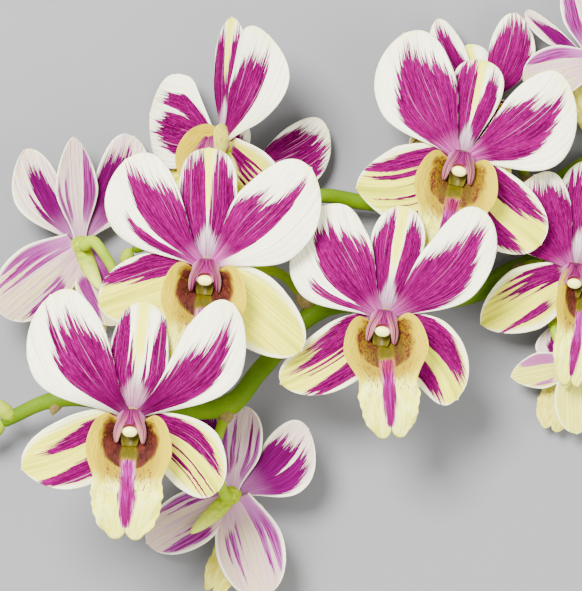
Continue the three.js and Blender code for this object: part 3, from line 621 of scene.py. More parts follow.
def wing_body(hand):
    """One wing of the column; its marks lie beyond those of the column's own length."""
    outer, inner = (along_line(rows, WING_ROWS) for rows in (WING_OUTER, WING_INNER))
    share = np.linspace(0, 1, WING_COLUMNS)
    flap = inner[:, None] + (outer - inner)[:, None] * share[:, None]
    flap[..., 2] += 0.55 * np.sin(np.pi * share) ** 0.8
    flap[..., 0] *= hand
    t, across = grid(np.linspace(0, 1, WING_ROWS), share)
    rim = rounding(2 * across - 1, 6) * rounding(2 * t - 1, 20)
    # The front mark rises towards the wing's outer edge, where the finish paints a highlight.
    marks = {"along": 1.3 + 0.3 * t, "across": 0.2 + 0.8 * across, "front": 0.2 + 0.78 * across ** 2}
    return two_faced(flap, 0.3 * rim, marks)


def stigma_body():
    """The sticky bowl under the cap."""
    t, side = grid(np.linspace(0, 1, 18), np.linspace(-1, 1, 19))
    z = 5.2 - 0.8 * t + 0.9 * side ** 2 - 0.7 * np.sin(np.pi * t) * (1 - side ** 2)
    bowl = np.stack([2.5 * side * (1 - 0.25 * t ** 3), -2.6 - 4.6 * t, z], -1)
    vertices, quads, _ = two_faced(bowl, 0.25 * rounding(side, 8) * rounding(2 * t - 1, 16), {})
    return vertices, quads, {"along": 1.1, "across": -1.0, "front": 0.0}


def cap_body():
    t = np.linspace(0, 1, CAP_RINGS)
    profile = np.sin(np.pi * np.clip(t, 0, 1) ** 0.8) ** 0.62
    profile[0] = profile[-1] = 0
    centres = COLUMN_END + COLUMN_AXIS * (SEAT_GAP + CAP_HIGH * (1 - np.cos(np.pi * t[:, None])) / 2)
    up = np.tile(np.cross(COLUMN_AXIS, ACROSS), (CAP_RINGS, 1))
    cleft = 1 - 0.1 * np.exp(-(((angles(CAP_SIDES) - 1.5 * np.pi) / 0.3) ** 2))
    vertices, quads = carried_ring(centres, up, CAP_WIDE * profile, CAP_DEEP * profile, CAP_SIDES, cleft)
    return vertices, quads, {"along": np.repeat(t, CAP_SIDES)}


print("wing quads:", len(wing_body(1)[1]), " cap quads:", len(cap_body()[1]))

# %% [markdown]
# ## From numbers to meshes
# A helper turns vertices, quads and marks into a Blender mesh. Points that fall
# together, as at a tip or along a rim, are merged, so every piece is closed, and
# inward-facing shells are turned round.

# %% The mesh maker
def add_mark(mesh, key, values):
    """Remember a number at every point, for the finish to read."""
    attribute = mesh.attributes.new(key, "FLOAT", "POINT")
    attribute.data.foreach_set("value", np.asarray(values, np.float32))


def linked(name, data):
    piece = bpy.data.objects.new(name, data)
    bpy.context.collection.objects.link(piece)
    return piece


def make_piece(name, parts, materials):
    """One object from several (vertices, quads, marks, material number) parts, in metres."""
    mesh = bpy.data.meshes.new(name)
    starts = np.cumsum([0] + [len(part[0]) for part in parts])
    vertices = np.concatenate([part[0] * MM for part in parts])
    faces = np.concatenate([part[1] + start for part, start in zip(parts, starts)])
    mesh.from_pydata(vertices.tolist(), [], faces.tolist())
    for key in sorted({key for part in parts for key in part[2]}):
        add_mark(mesh, key, np.concatenate([np.broadcast_to(part[2].get(key, 0.0), len(part[0])) for part in parts]))
    slots = np.concatenate([np.full(len(part[1]), part[3], np.int32) for part in parts])
    mesh.polygons.foreach_set("material_index", slots)
    soft = bmesh.new()
    soft.from_mesh(mesh)
    bmesh.ops.remove_doubles(soft, verts=soft.verts, dist=2e-6)
    bmesh.ops.dissolve_degenerate(soft, edges=soft.edges, dist=1e-7)
    bmesh.ops.recalc_face_normals(soft, faces=soft.faces)
    for face in soft.faces:
        face.smooth = True
    soft.to_mesh(mesh)
    soft.free()
    for material in materials:
        mesh.materials.append(material)
    return linked(name, mesh)


print("mesh maker ready")

# %% [markdown]
# ## A small language for shader maths
# Shader nodes do sums with one node for each sign, which is slow to write and to read.
# Wrapping a socket in a class that knows +, - and * lets the streaks be written as
# ordinary formulas. Three words recur below. Noise reads a cloud at a place that is
# given by three sums, and wobble is that noise about 0. Rise goes softly from 0 to 1
# between two values, or from 1 to 0 when the second is the smaller one.

# %% Sockets that can be added and multiplied
def add_node(tree, kind, settings, sockets, output):
    """A new node's output socket, with the node's options set and its sockets linked or set."""
    made = tree.nodes.new(kind)
    for key, value in settings.items():
        setattr(made, key, value)
    for key, value in sockets.items():
        if isinstance(value, bpy.types.NodeSocket):
            tree.links.new(value, made.inputs[key])
        else:
            made.inputs[key].default_value = value
    return made.outputs[output]


class Wire:
    """A socket of a material's node tree that takes part in Python sums."""

    def __init__(self, board, socket):
        self.board, self.socket = board, socket

    def __add__(self, other):
        return self.board.sum("ADD", self, other)

    def __sub__(self, other):
        return self.board.sum("SUBTRACT", self, other)

    def __rsub__(self, other):
        return self.board.sum("SUBTRACT", other, self)

    def __mul__(self, other):
        return self.board.sum("MULTIPLY", self, other)

    def __abs__(self):
        return self.board.sum("ABSOLUTE", self)

    __radd__, __rmul__ = __add__, __mul__


class Board:
    """The node tree of one material, with a Principled shader on it."""

    def __init__(self, name, **constants):
        self.material = bpy.data.materials.new(name)
        self.material.use_nodes = True
        self.tree = self.material.node_tree
        self.shader = self.tree.nodes["Principled BSDF"]
        for socket, value in constants.items():
            self.shader.inputs[socket.replace("_", " ")].default_value = value

    def node(self, kind, settings, sockets, output=0):
        sockets = {key: getattr(value, "socket", value) for key, value in sockets.items()}
        return Wire(self, add_node(self.tree, kind, settings, sockets, output))

    def sum(self, operation, *terms):
        return self.node("ShaderNodeMath", {"operation": operation}, dict(enumerate(terms)))

    def marks(self, names):
        return [self.node("ShaderNodeAttribute", {"attribute_name": name}, {}, "Fac") for name in names.split()]

    def cloud(self, vector, scale, detail):
        return self.node("ShaderNodeTexNoise", {}, {"Vector": vector, "Scale": scale, "Detail": detail})

    def noise(self, x, y, z, detail=2.0):
        return self.cloud(self.node("ShaderNodeCombineXYZ", {}, {0: x, 1: y, 2: z}), 1.0, detail)

    def wobble(self, x, y, z, detail=2.0):
        return self.noise(x, y, z, detail) - 0.5

    def grain(self, scale, detail=3.0):
        """Noise that lies in the object's own space."""
        return self.cloud(self.node("ShaderNodeTexCoord", {}, {}, "Object"), scale, detail)

    def rise(self, value, low, high):
        sockets = {"Value": value, "From Min": low, "From Max": high}
        return self.node("ShaderNodeMapRange", {"interpolation_type": "SMOOTHSTEP"}, sockets)

    def profile(self, value, stops):
        """A line through (place, level) stops, read at the value."""
        line = self.node("ShaderNodeValToRGB", {}, {"Fac": value})
        elements = line.socket.node.color_ramp.elements
        while len(elements) < len(stops):
            elements.new(1.0)
        for element, (place, level) in zip(elements, stops):
            element.position, element.color = place, (level, level, level, 1)
        return line

    def mix(self, factor, first, second):
        first, second = ((*tone, 1) if isinstance(tone, tuple) else tone for tone in (first, second))
        return self.node("ShaderNodeMix", {"data_type": "RGBA"}, {0: factor, 6: first, 7: second}, 2)

    def paint(self, socket, value):
        self.tree.links.new(value.socket, self.shader.inputs[socket])

    def emboss(self, height, distance, strength):
        sockets = {"Height": height, "Distance": distance, "Strength": strength}
        self.paint("Normal", self.node("ShaderNodeBump", {}, sockets))


print("shader language ready")

# %% [markdown]
# ## Streaked petals
# On the real flower the magenta lies in cells along the veins. Each vein carries it to a
# different length, so the band's end is torn into hairs, with white lines between. The
# formula is: how far this vein's paint reaches, less how far along the blade this point
# is. Noises, broad and fine, stretched along the veins, tear the end. The backs show
# the same streaks through the blade, washed out to lilac. Lighter copies of the magenta
# are painted light for blooms that lie in shade, and painted shade darkens some backs.

# %% The streak finish
# The lit tones are painted light: lighter copies of the magenta and of its deep tone, for blooms that lie in shade.
MAGENTA, MAGENTA_LIT = (0.106, 0.0, 0.048), (0.170, 0.0, 0.080)
DEEP, DEEP_LIT = (0.040, 0.0, 0.017), (0.070, 0.0, 0.033)
BRIGHT, DULL_TIP = (0.235, 0.0, 0.130), (0.10, 0.008, 0.075)
LILAC, PINKISH = (0.46, 0.13, 0.38), (0.66, 0.24, 0.48)
HEART_DARK, HEART_PALE = (0.17, 0.002, 0.09), (0.40, 0.14, 0.30)
BASE_PINK, BASE_PALE = (0.26, 0.01, 0.16), (0.62, 0.18, 0.42)
BACK_PINK, BACK_PAINTED_SHADE, BACK_BASE = (0.56, 0.34, 0.42), (0.34, 0.20, 0.26), (0.50, 0.18, 0.42)
BACK_STREAK, BACK_STREAK_LILAC = (0.20, 0.005, 0.145), (0.27, 0.07, 0.24)
STRAW, STRAW_GREEN, STRAW_STREAK = (0.76, 0.72, 0.12), (0.48, 0.50, 0.03), (0.42, 0.15, 0.30)
WHITE, CREAM = (0.94, 0.92, 0.68), (0.80, 0.76, 0.06)


def streaked(name, ground, base_wash, back_tone, back_ground, base=None):
    board = Board(name, Roughness=0.5, IOR=1.4, Specular_IOR_Level=0.006, Subsurface_Weight=0.05,
                  Subsurface_Scale=0.0006, Subsurface_Radius=(1.0, 0.4, 0.4))
    mix, rise, noise, wobble = board.mix, board.rise, board.noise, board.wobble
    vein, u, across, front, draw = board.marks("vein along across front draw")
    reach, begin, fade, glow = board.marks("reach begin fade glow")
    torn, hair = wobble(vein * 26, u * 2.2, draw * 5.1), wobble(vein * 75, u * 4.0, draw * 3.7)
    tear = wobble(vein * 9, u * 0.9, draw * 7.3, 1.0) * 0.16 + torn * 0.34 + hair * 0.40
    ahead = reach + tear * rise(reach, 0.02, 0.25) - u
    after = u - (begin + (torn + hair) * 0.15)
    fleck = noise(vein * 60, u * 22, draw)
    gaps = rise(noise(vein * 30, u * 0.8, draw * 9.9 + 4, 1.0), 0.69, 0.74) * rise(u, 0.15, 0.6) * 0.45
    gaps = board.sum("MAXIMUM", gaps, rise(fleck, 0.75, 0.80) * 0.3)
    band = rise(ahead, -0.004, 0.02) * rise(after, -0.04, 0.06) * (1.0 - gaps)
    halo = rise(ahead, -0.10, 0.05) * rise(after, -0.15, 0.1)

    # Painted light: the bloom's mark of painted light moves the magenta towards its lit copies.
    tone = mix(rise(torn + hair, -0.2, 0.12), mix(glow, DEEP, DEEP_LIT), mix(glow, MAGENTA, MAGENTA_LIT))
    tone = mix(rise(fleck + hair * 0.8, 0.47, 0.68) * 0.68, tone, BRIGHT)
    tone = mix(rise(ahead, 0.07, 0.01) * 0.45, tone, DULL_TIP)
    washed = mix(halo * 0.16, ground(board, vein, u, across, draw, glow), LILAC)
    washed = mix(rise(ahead, 0.02, 0.16) * rise(after, 0.0, 0.1) * 0.8, washed, PINKISH)
    streaks = mix(band, washed, tone)
    streaks = mix(rise(u, base_wash, 0.03) * 0.7, streaks, mix(rise(torn, -0.1, 0.25), HEART_DARK, HEART_PALE))
    if base:
        streaks = base(board, streaks, u, torn, glow)

    lines = noise(vein * 46, u * 1.1, draw * 2.2, 1.0)
    pale_back = mix(rise(lines, 0.36, 0.62), back_ground, BACK_PINK)
    # Painted shade: the bloom's mark darkens the pale back of a sepal and turns its streaks lilac; below 0 it turns
    # the back straw yellow.
    pale_back = mix(fade * 0.5, pale_back, BACK_PAINTED_SHADE)
    sallow = rise(fade * -1.0, 0.0, 1.0)
    pale_back = mix(sallow * 0.9, pale_back, mix(rise(lines, 0.36, 0.62), STRAW, STRAW_GREEN))
    dark_back = mix(rise(hair + torn, -0.1, 0.2) * 0.4, back_tone, BACK_STREAK)
    dark_back = mix(fade * rise(torn + hair * 0.6, -0.10, 0.10), dark_back, BACK_STREAK_LILAC)
    dark_back = mix(sallow * 0.6, dark_back, STRAW_STREAK)
    back = mix(rise(band + halo * 0.3, 0.1, 1.0), pale_back, dark_back)
    back = mix(rise(u + torn * 0.2, 0.40, 0.02) * 0.6, back, BACK_BASE)
    back = mix(rise(abs(across), 0.84, 0.99) * 0.8, back, WHITE)
    board.paint("Base Color", mix(front, back, streaks))

    ridges, swells = noise(vein * 19, u * 0.9, draw * 3.1), noise(vein * 4, u * 3.5, draw * 1.7)
    cells = noise(vein * 120, u * 70, draw)
    board.emboss(ridges * 0.8 + swells * 1.6 + lines * 0.3 + cells * 0.12, 0.0007, 0.7)
    board.paint("Roughness", 0.44 + 0.16 * cells)
    return board.material


def petal_base(board, streaks, u, torn, glow):
    """Petals are darkest at the base where the bloom's mark of painted light and base tone is 0, and pink there where
    it is high.
    """
    mix, rise = board.mix, board.rise
    streaks = mix(rise(u, 0.42, 0.10) * rise(glow, 0.08, 0.0) * 0.55, streaks, DEEP)
    pink = mix(rise(torn, -0.12, 0.2), BASE_PINK, BASE_PALE)
    return mix(rise(u, 0.23, 0.06) * rise(glow, 0.08, 0.2) * 0.75, streaks, pink)


def petal_ground(board, vein, u, across, draw, glow):
    # Green-grey lines along the veins on the white: vein colour, and partly painted shade of the petal's fine
    # wrinkles.
    lines = board.noise(vein * 34, u * 0.7, draw + 2, 1.0)
    soft = board.mix(board.rise(lines, 0.48, 0.7) * 0.55, WHITE, (0.55, 0.64, 0.34))
    return board.mix(board.rise(u, 0.85, 1.0) * 0.4, soft, (0.86, 0.84, 0.28))


def dorsal_ground(board, vein, u, across, draw, glow):
    mix, rise = board.mix, board.rise
    soft = mix(rise(abs(vein), 0.30, 0.09) * rise(u, 0.25, 0.6), WHITE, CREAM)
    lines = board.noise(vein * 30, u * 0.8, draw + 2, 1.0)
    base = mix(rise(lines, 0.4, 0.6), (0.28, 0.11, 0.24), (0.56, 0.43, 0.47))
    darker_base = mix(rise(lines, 0.42, 0.58), (0.13, 0.01, 0.07), (0.40, 0.19, 0.27))
    soft = mix(rise(u, 0.5, 0.2) * 0.9, soft, mix(rise(glow, 0.08, 0.0), base, darker_base))
    return mix(rise(u, 0.88, 1.0) * 0.7, soft, (0.66, 0.72, 0.05))


def lateral_ground(board, vein, u, across, draw, glow):
    mix, rise = board.mix, board.rise
    lines = board.noise(vein * 22, u * 0.7, draw + 2, 1.0)
    cream = mix(rise(lines, 0.42, 0.66) * 0.7, (0.78, 0.73, 0.05), (0.46, 0.48, 0.015))
    rib = rise(abs(vein - 0.02), 0.14, 0.0) * rise(u, 0.2, 1.0)
    cream = mix(rib * 0.7, cream, (0.34, 0.39, 0.005))
    return mix(rise(abs(across), 0.72, 0.96) * 0.8, cream, WHITE)


blade_finishes = [
    streaked("petal_streaks", petal_ground, 0.14, (0.078, 0.0, 0.047), (0.80, 0.75, 0.44), petal_base),
    streaked("dorsal_streaks", dorsal_ground, 0.26, (0.115, 0.0, 0.066), (0.74, 0.68, 0.36)),
    streaked("lateral_streaks", lateral_ground, 0.1, (0.135, 0.0, 0.082), (0.72, 0.70, 0.16))]
print("streak finishes:", [finish.name for finish in blade_finishes])

# %% [markdown]
# ## The finish of the bloom's heart
# From the front the knob is a dull yellow where the blades start, and behind it turns
# into the yellow-green of the ovary, paler towards the end of the chin.

# %% Hub and chin finish
def heart_material():
    board = Board("ovary_green", Roughness=0.45, Specular_IOR_Level=0.06, Subsurface_Weight=0.1,
                  Subsurface_Scale=0.001)
    u, = board.marks("along")
    spots = board.grain(900.0)
    green = board.mix(board.rise(spots, 0.35, 0.7), (0.20, 0.29, 0.0), (0.36, 0.46, 0.0))
    green = board.mix(board.rise(u, 0.2, -0.9) * 0.8, green, (0.64, 0.70, 0.10))
    board.paint("Base Color", board.mix(board.rise(u, 0.72, 0.95), green, (0.36, 0.26, 0.05)))
    board.emboss(spots, 0.0001, 0.5)
    return board.material


heart_finish = heart_material()
print("heart finish:", heart_finish.name)

# %% [markdown]
# ## The finish of the lip
# The lip is the busiest surface. From the throat outwards it goes from olive brown,
# through two blotches on gold beside the column, maroon or only stippled, to cream,
# with a magenta stripe down the middle of the midlobe and small dark specks at its base.

# %% Lip finish
GOLD, LOBE_GOLD, LOBE_PALE = (0.28, 0.19, 0.0), (0.38, 0.25, 0.0), (0.52, 0.39, 0.001)
LIP_CREAM, LIP_WHITE = (0.80, 0.79, 0.03), (0.95, 0.94, 0.26)
MAROON, MAROON_LIT = (0.030, 0.004, 0.003), (0.075, 0.014, 0.008)
OLIVE, DARK_OLIVE, AMBER = (0.07, 0.055, 0.002), (0.045, 0.023, 0.004), (0.20, 0.10, 0.002)
STRIPE, STRIPE_DEEP = (0.27, 0.006, 0.20), (0.17, 0.0, 0.085)
STRIPE_EDGE, STRIPE_HAIR = (0.12, 0.0, 0.06), (0.08, 0.0, 0.035)
FRINGE_PALE, FRINGE_DEEP, FRINGE_RED = (0.50, 0.14, 0.36), (0.27, 0.008, 0.17), (0.36, 0.06, 0.08)
CRIMSON, CRIMSON_HAIR, SPECK = (0.20, 0.006, 0.035), (0.07, 0.0, 0.012), (0.12, 0.015, 0.015)
UNDER_GOLD, UNDER_CREAM = (0.62, 0.52, 0.05), (0.80, 0.76, 0.14)
BLOTCH_WIDTH = [(0.0, 0.97), (0.1, 0.9), (0.2, 0.78), (0.28, 0.66), (0.34, 0.50), (0.385, 0.3), (0.41, 0.0)]
STRIPE_WIDTH = [(0.0, 0.0), (0.29, 0.0), (0.32, 0.11), (0.44, 0.15), (0.66, 0.24), (0.8, 0.20), (0.9, 0.12),
                (0.95, 0.0)]


def lip_material():
    board = Board("lip_colours", Roughness=0.46, Specular_IOR_Level=0.08, Subsurface_Weight=0.15,
                  Subsurface_Scale=0.0008, Subsurface_Radius=(1.0, 0.6, 0.35))
    mix, rise, wobble = board.mix, board.rise, board.wobble
    u, v, front, draw, dusk = board.marks("along across front draw dusk")
    side = abs(v)
    cloud, fine = wobble(v * 7, u * 9, draw * 4, 3.0), wobble(v * 34, u * 22, draw * 6, 3.0)
    hair, violet = wobble(v * 70, u * 5, draw * 8), wobble(v * 11, u * 7, draw * 3)

    lobe = mix(rise(side + cloud * 0.3, 0.35, 0.95), LOBE_GOLD, LOBE_PALE)
    mid = mix(rise(cloud + fine * 0.6, -0.2, 0.2), LIP_CREAM, LIP_WHITE)
    ground = mix(rise(u + cloud * 0.08, 0.46, 0.60), lobe, mid)
    gold = rise(u, 0.1, 0.3) * rise(u + cloud * 0.1, 0.56, 0.42) * rise(side + cloud * 0.2, 0.8, 0.42)
    ground = mix(gold * 0.85, ground, GOLD)

    limit = board.profile(u, BLOTCH_WIDTH) - side + cloud * 0.24 + fine * 0.1
    blotch = rise(limit, -0.08, 0.12) * rise(side, 0.12, 0.2) * rise(dusk, 0.0, 0.2)
    grit = wobble(v * 20, u * 50, draw * 5)
    stipple = rise(dusk + grit * 1.1 + fine * 0.4 + cloud * 1.2, 0.3, 0.75)
    # Dark olive to amber under the blotch, darkest towards the throat: blotch colour, and near the throat partly
    # painted shade of the cavity.
    ground = mix(blotch * 0.9, ground, mix(rise(side + u + cloud * 0.5, 0.42, 0.95), DARK_OLIVE, AMBER))
    ground = mix(blotch * stipple, ground, mix(rise(cloud + fine * 0.5, -0.15, 0.2), MAROON, MAROON_LIT))
    ground = mix(rise(u + cloud * 0.1, 0.36, 0.26) * rise(side, 0.24, 0.12), ground, OLIVE)

    width = board.profile(u, STRIPE_WIDTH)
    fringe = rise(width + 0.04 + hair * 0.22 + violet * 0.1 - side, -0.01, 0.05)
    core = rise(width + hair * 0.34 + violet * 0.16 - side, -0.01, 0.04)
    pink = mix(rise(violet * 1.2 + hair * 1.4 + (u - 0.5) * 1.1, -0.10, 0.10), STRIPE, STRIPE_DEEP)
    pink = mix(rise(side - width * 0.72 + hair * 0.2, 0.0, 0.03) * 0.7, pink, STRIPE_EDGE)
    pink = mix(rise(hair, 0.05, 0.12), pink, STRIPE_HAIR)
    red_base = rise(u, 0.52, 0.40) * rise(dusk, 0.80, 0.50) * 0.85
    pink = mix(red_base, pink, mix(rise(hair, -0.06, 0.1), CRIMSON, CRIMSON_HAIR))
    pale = mix(red_base, mix(rise(hair + violet, -0.12, 0.12), FRINGE_PALE, FRINGE_DEEP), FRINGE_RED)
    head = rise(u + hair * 0.1, 0.29, 0.33)
    ground = mix(core * head, mix(fringe * head, ground, pale), pink)

    dots = rise(board.noise(v * 24, u * 26, draw * 2, 1.0), 0.59, 0.65) * rise(u, 0.36, 0.44)
    dots = dots * rise(u, 0.68, 0.58) * rise(side, 0.1, 0.2) * rise(side, 0.8, 0.6)
    ground = mix(dots * 0.85, ground, SPECK)
    under = mix(rise(cloud, -0.2, 0.2), UNDER_GOLD, UNDER_CREAM)
    board.paint("Base Color", mix(front, under, ground))
    board.emboss(fine * 0.8 + cloud * 1.2 + hair * 0.5, 0.0006, 0.7)
    board.paint("Roughness", 0.52 + 0.2 * fine)
    return board.material


lip_finish = lip_material()
print("lip finish:", lip_finish.name)

# %% [markdown]
# ## The finish of the column and its cap
# The column is waxy: magenta-pink on its back, paler on the flanks, olive in the hollow
# of the stigma. Its wings end in orange-pink tips, and a painted highlight runs along
# their outer edges. The cap is cream wax with a slight shine.

# %% Column and cap finishes
def column_material():
    board = Board("column_pink", Roughness=0.4, Specular_IOR_Level=0.14, Subsurface_Weight=0.15,
                  Subsurface_Scale=0.0008)
    mix, rise = board.mix, board.rise
    t, height, flank, draw = board.marks("along across front draw")
    lines = board.noise(height * 9, t * 1.5, flank * 9 + draw)
    pink = mix(rise(lines, 0.38, 0.62), (0.07, 0.0, 0.03), (0.19, 0.006, 0.10))
    # Pale pink towards the flanks; on the wings it rises to their outer edges as a painted highlight.
    pink = mix(rise(flank, 0.5, 0.95) * 0.85, pink, (0.52, 0.20, 0.38))
    pink = mix(rise(t, 0.25, 0.0) * 0.35, pink, (0.38, 0.10, 0.26))
    pink = mix(rise(height * -1.0, 0.35, 0.75) * rise(t, 0.3, 0.55), pink, (0.075, 0.058, 0.003))
    pink = mix(rise(t, 1.28, 1.56) * rise(lines, 0.40, 0.62) * 0.55, pink, (0.62, 0.32, 0.18))
    seat = rise(t, 1.0, 1.03) * rise(t, 1.09, 1.06)
    board.paint("Base Color", mix(seat, pink, (0.42, 0.10, 0.12)))
    board.emboss(lines, 0.0002, 0.4)
    return board.material


def cap_material():
    board = Board("cap_wax", Roughness=0.3, Subsurface_Weight=0.25, Subsurface_Scale=0.0008, Coat_Weight=0.1)
    grain = board.grain(1400.0)
    board.paint("Base Color", board.mix(board.rise(grain, 0.35, 0.7), (0.93, 0.89, 0.20), (0.96, 0.94, 0.36)))
    board.emboss(grain, 0.0001, 0.4)
    return board.material


column_finish, cap_finish = column_material(), cap_material()
print("wax finishes:", column_finish.name, cap_finish.name)

# %% [markdown]
# ## Growing the twelve blooms
# Now every bloom gets its four pieces. Each stands for one node of the rigid model,
# which it hides, and rides on the root body. A seeded random draw gives
# each blade its own ruffle and its own streaks.

# %% Grow the blooms
SEED, DRAWS = 11, 20
HEART_SLOT = 3
rng = np.random.default_rng(SEED)


def placed_part(part, bloom, extra, slot=0):
    vertices, quads, marks = part
    return placed(vertices, bloom), quads, {**marks, **extra}, slot


def stand_in(piece, node):
    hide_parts(node)
    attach(piece, "root")


for name, bloom in BLOOMS.items():
    parts = []
    for kind in PLAN:
        shape = shape_of(name, kind)
        sheet = blade(shape, rng.uniform())
        marks = {**paint_marks(name, kind, sheet[2]["vein"]), "draw": rng.uniform(0, DRAWS), "glow": bloom["glow"]}
        marks["fade"] = 0 if kind.startswith("petal") else bloom["fade"]
        parts.append(placed_part(sheet, bloom, marks, shape["slot"]))
    for part in (hub_body(), chin_body(bloom["spur"], bloom["chin"])):
        parts.append(placed_part(part, bloom, {}, HEART_SLOT))
    tepals = make_piece(f"{name}_sepals_and_petals", parts, [*blade_finishes, heart_finish])
    stand_in(tepals, f"{name}_tepals")
    draw = {"draw": rng.uniform(0, DRAWS)}
    part = placed_part(lip_body(bloom, rng.uniform()), bloom, {**draw, "dusk": bloom["dusk"]})
    lip = make_piece(f"{name}_fine_lip", [part], [lip_finish])
    stand_in(lip, f"{name}_lip")
    flesh = [placed_part(part, bloom, draw) for part in (column_body(), wing_body(1), wing_body(-1), stigma_body())]
    column = make_piece(f"{name}_fine_column", flesh, [column_finish])
    stand_in(column, f"{name}_column")
    cap = make_piece(f"{name}_fine_cap", [placed_part(cap_body(), bloom, draw)], [cap_finish])
    stand_in(cap, f"{name}_anther_cap")
print("blooms grown:", len(BLOOMS))

# %% [markdown]
# ## The forked stem
# Stalk, branches, pedicels and buds are all tubes that follow a path, which is what
# Geometry Nodes do well: the script lays down bare lines with a thickness at each point,
# and one node tree sweeps a circle along them, ruffles the skin a little and gives it
# its material. The lines are smooth curves through the points of the rigid model. After
# x, y, z and the thickness, each point says how young the skin is and how dry.

# %% Lines of the stems
STEM_LINES = [
    [(104, 38, 3.2, 3.7), (96, 34, 3.4, 3.7), (90, 29, 3.8, 3.4)],
    [(96, 34, 3.4, 3.6), (84, 18, 4.6, 3.4), (66, 8, 6.6, 3.3), (49, 0.7, 8, 3.2), (28, -2, 10.5, 2.9),
     (8, -4, 13, 2.5), (-8, -20, 16, 2.6), (-17, -30, 18.5, 2.6), (-35, -31.5, 20, 2.3),
     (-64, -28.5, 17, 2.1), (-80, -35, 13, 1.9)],
    [(96, 34, 3.4, 3.2), (84, 36.5, 5, 2.9), (72, 30, 7.5, 2.8), (48, 24, 9, 2.4), (20, 25.8, 10, 2.2),
     (8, 27.5, 13, 2.0), (-12, 22, 16.5, 1.9), (-30, 17, 16, 1.7), (-44, 12.5, 12, 1.3)],
]
BUDS = [((-83, -37.5, 12.2), (-0.8, -0.5, -0.1), 10, 2.7), ((-79, -31.5, 15), (-0.6, 0.75, 0.2), 8, 2.2),
        ((-45.5, 10.2, 10.6), (-0.35, -0.85, -0.4), 7, 1.9)]
BUD_SWELL = [0, 0.08, 0.25, 0.5, 0.8, 0.95, 1], [0.0, 0.5, 0.9, 1.0, 0.65, 0.25, 0.004]
BUD_ROWS, BUD_YOUNG, OLD_YOUNG = 26, 0.9, 0.15
BARE_NODE, BARE_AIM = np.array([-64.4, -28.3, 16.8]), np.array([-0.28, -0.95, -0.1])
PEDICEL_RADIUS, PEDICEL_LEAD = 1.45, 2.5
ROOTS = np.array([bloom["pedicel"][-1] for bloom in BLOOMS.values()] + [BARE_NODE], float)


def smooth_line(rows, step):
    """A centripetal Catmull-Rom curve through x, y, z, ... rows, about one row a step."""
    rows = np.asarray(rows, float)
    ends = np.vstack([2 * rows[0] - rows[1], rows, 2 * rows[-1] - rows[-2]])
    out = []
    for four in zip(ends, ends[1:], ends[2:], ends[3:]):
        gaps = [np.linalg.norm(b[:3] - a[:3]) for a, b in zip(four, four[1:])]
        knots = np.cumsum([0] + [max(gap, 1e-6) ** 0.5 for gap in gaps])
        count = max(2, round(gaps[1] / step))
        t = np.linspace(knots[1], knots[2], count, endpoint=False)[:, None]

        def between(first, last, p, q):
            low, high = knots[first], knots[last]
            return (high - t) / (high - low) * p + (t - low) / (high - low) * q

        a1, a2, a3 = (between(k, k + 1, four[k], four[k + 1]) for k in range(3))
        out.append(between(1, 2, between(0, 2, a1, a2), between(1, 3, a2, a3)))
    return np.vstack(out + [rows[-1:]])


def swollen(line):
    """Stem nodes: the stem is a little thicker where a pedicel leaves it."""
    distance = np.linalg.norm(line[:, None, :3] - ROOTS[None], axis=2)
    line[:, 3] *= 1 + 0.16 * np.exp(-((distance / 3.2) ** 2)).sum(1)
    return line


def rounded(line, first, last):
    """Draw the ends in to a point, so that the sweep closes as a dome."""
    length = np.r_[0, np.cumsum(np.linalg.norm(np.diff(line[:, :3], axis=0), axis=1))]
    for closed, distance in ((first, length), (last, length[-1] - length)):
        if closed:
            line[:, 3] *= np.sqrt(np.clip(1 - (1 - np.clip(distance / 1.6, 0.004, 1)) ** 2, 0, 1))
    return line


stem_rows = []
for number, rows in enumerate(STEM_LINES):
    line = rounded(swollen(smooth_line(rows, 0.7)), first=number > 0, last=True)
    stem_rows.append(np.c_[line, np.full(len(line), OLD_YOUNG), np.zeros(len(line))])
for bloom in BLOOMS.values():
    leads = [placed(np.array([0, 0, HUB_BACK - gap]), bloom) - SPRAY_SHIFT
             for gap in (-0.6, SEAT_GAP / bloom["scale"], PEDICEL_LEAD)]
    points = [(*point, PEDICEL_RADIUS) for point in [*leads, *bloom["pedicel"]]]
    line = rounded(smooth_line(points, 0.6), first=True, last=True)
    share = np.linspace(0, 1, len(line))
    line[:, 3] *= 0.86 + 0.3 * np.exp(-((share / 0.22) ** 2)) + 0.2 * share ** 3
    stem_rows.append(np.c_[line, 1 - 0.7 * share, np.zeros(len(line))])
for at, towards, length, radius in BUDS:
    t = np.linspace(0, 1, BUD_ROWS)[:, None]
    aim = np.array(towards) / np.linalg.norm(towards)
    body = np.array(at) + (t - 0.5) * length * aim + 0.6 * np.sin(np.pi * t) * np.array([0, 0, 1.0])
    stem_rows.append(np.c_[body, radius * np.interp(t, *BUD_SWELL), np.full(BUD_ROWS, BUD_YOUNG), 0.35 * t])
print("stem lines:", len(stem_rows), " points:", sum(map(len, stem_rows)))

# %% [markdown]
# The skin of the stems: deep green on the old stalk, yellow-green and paler on the
# young pedicels, with soft clouds and scattered specks. Bracts are thin sheaths at the
# roots of the pedicels, dry and brownish pink.

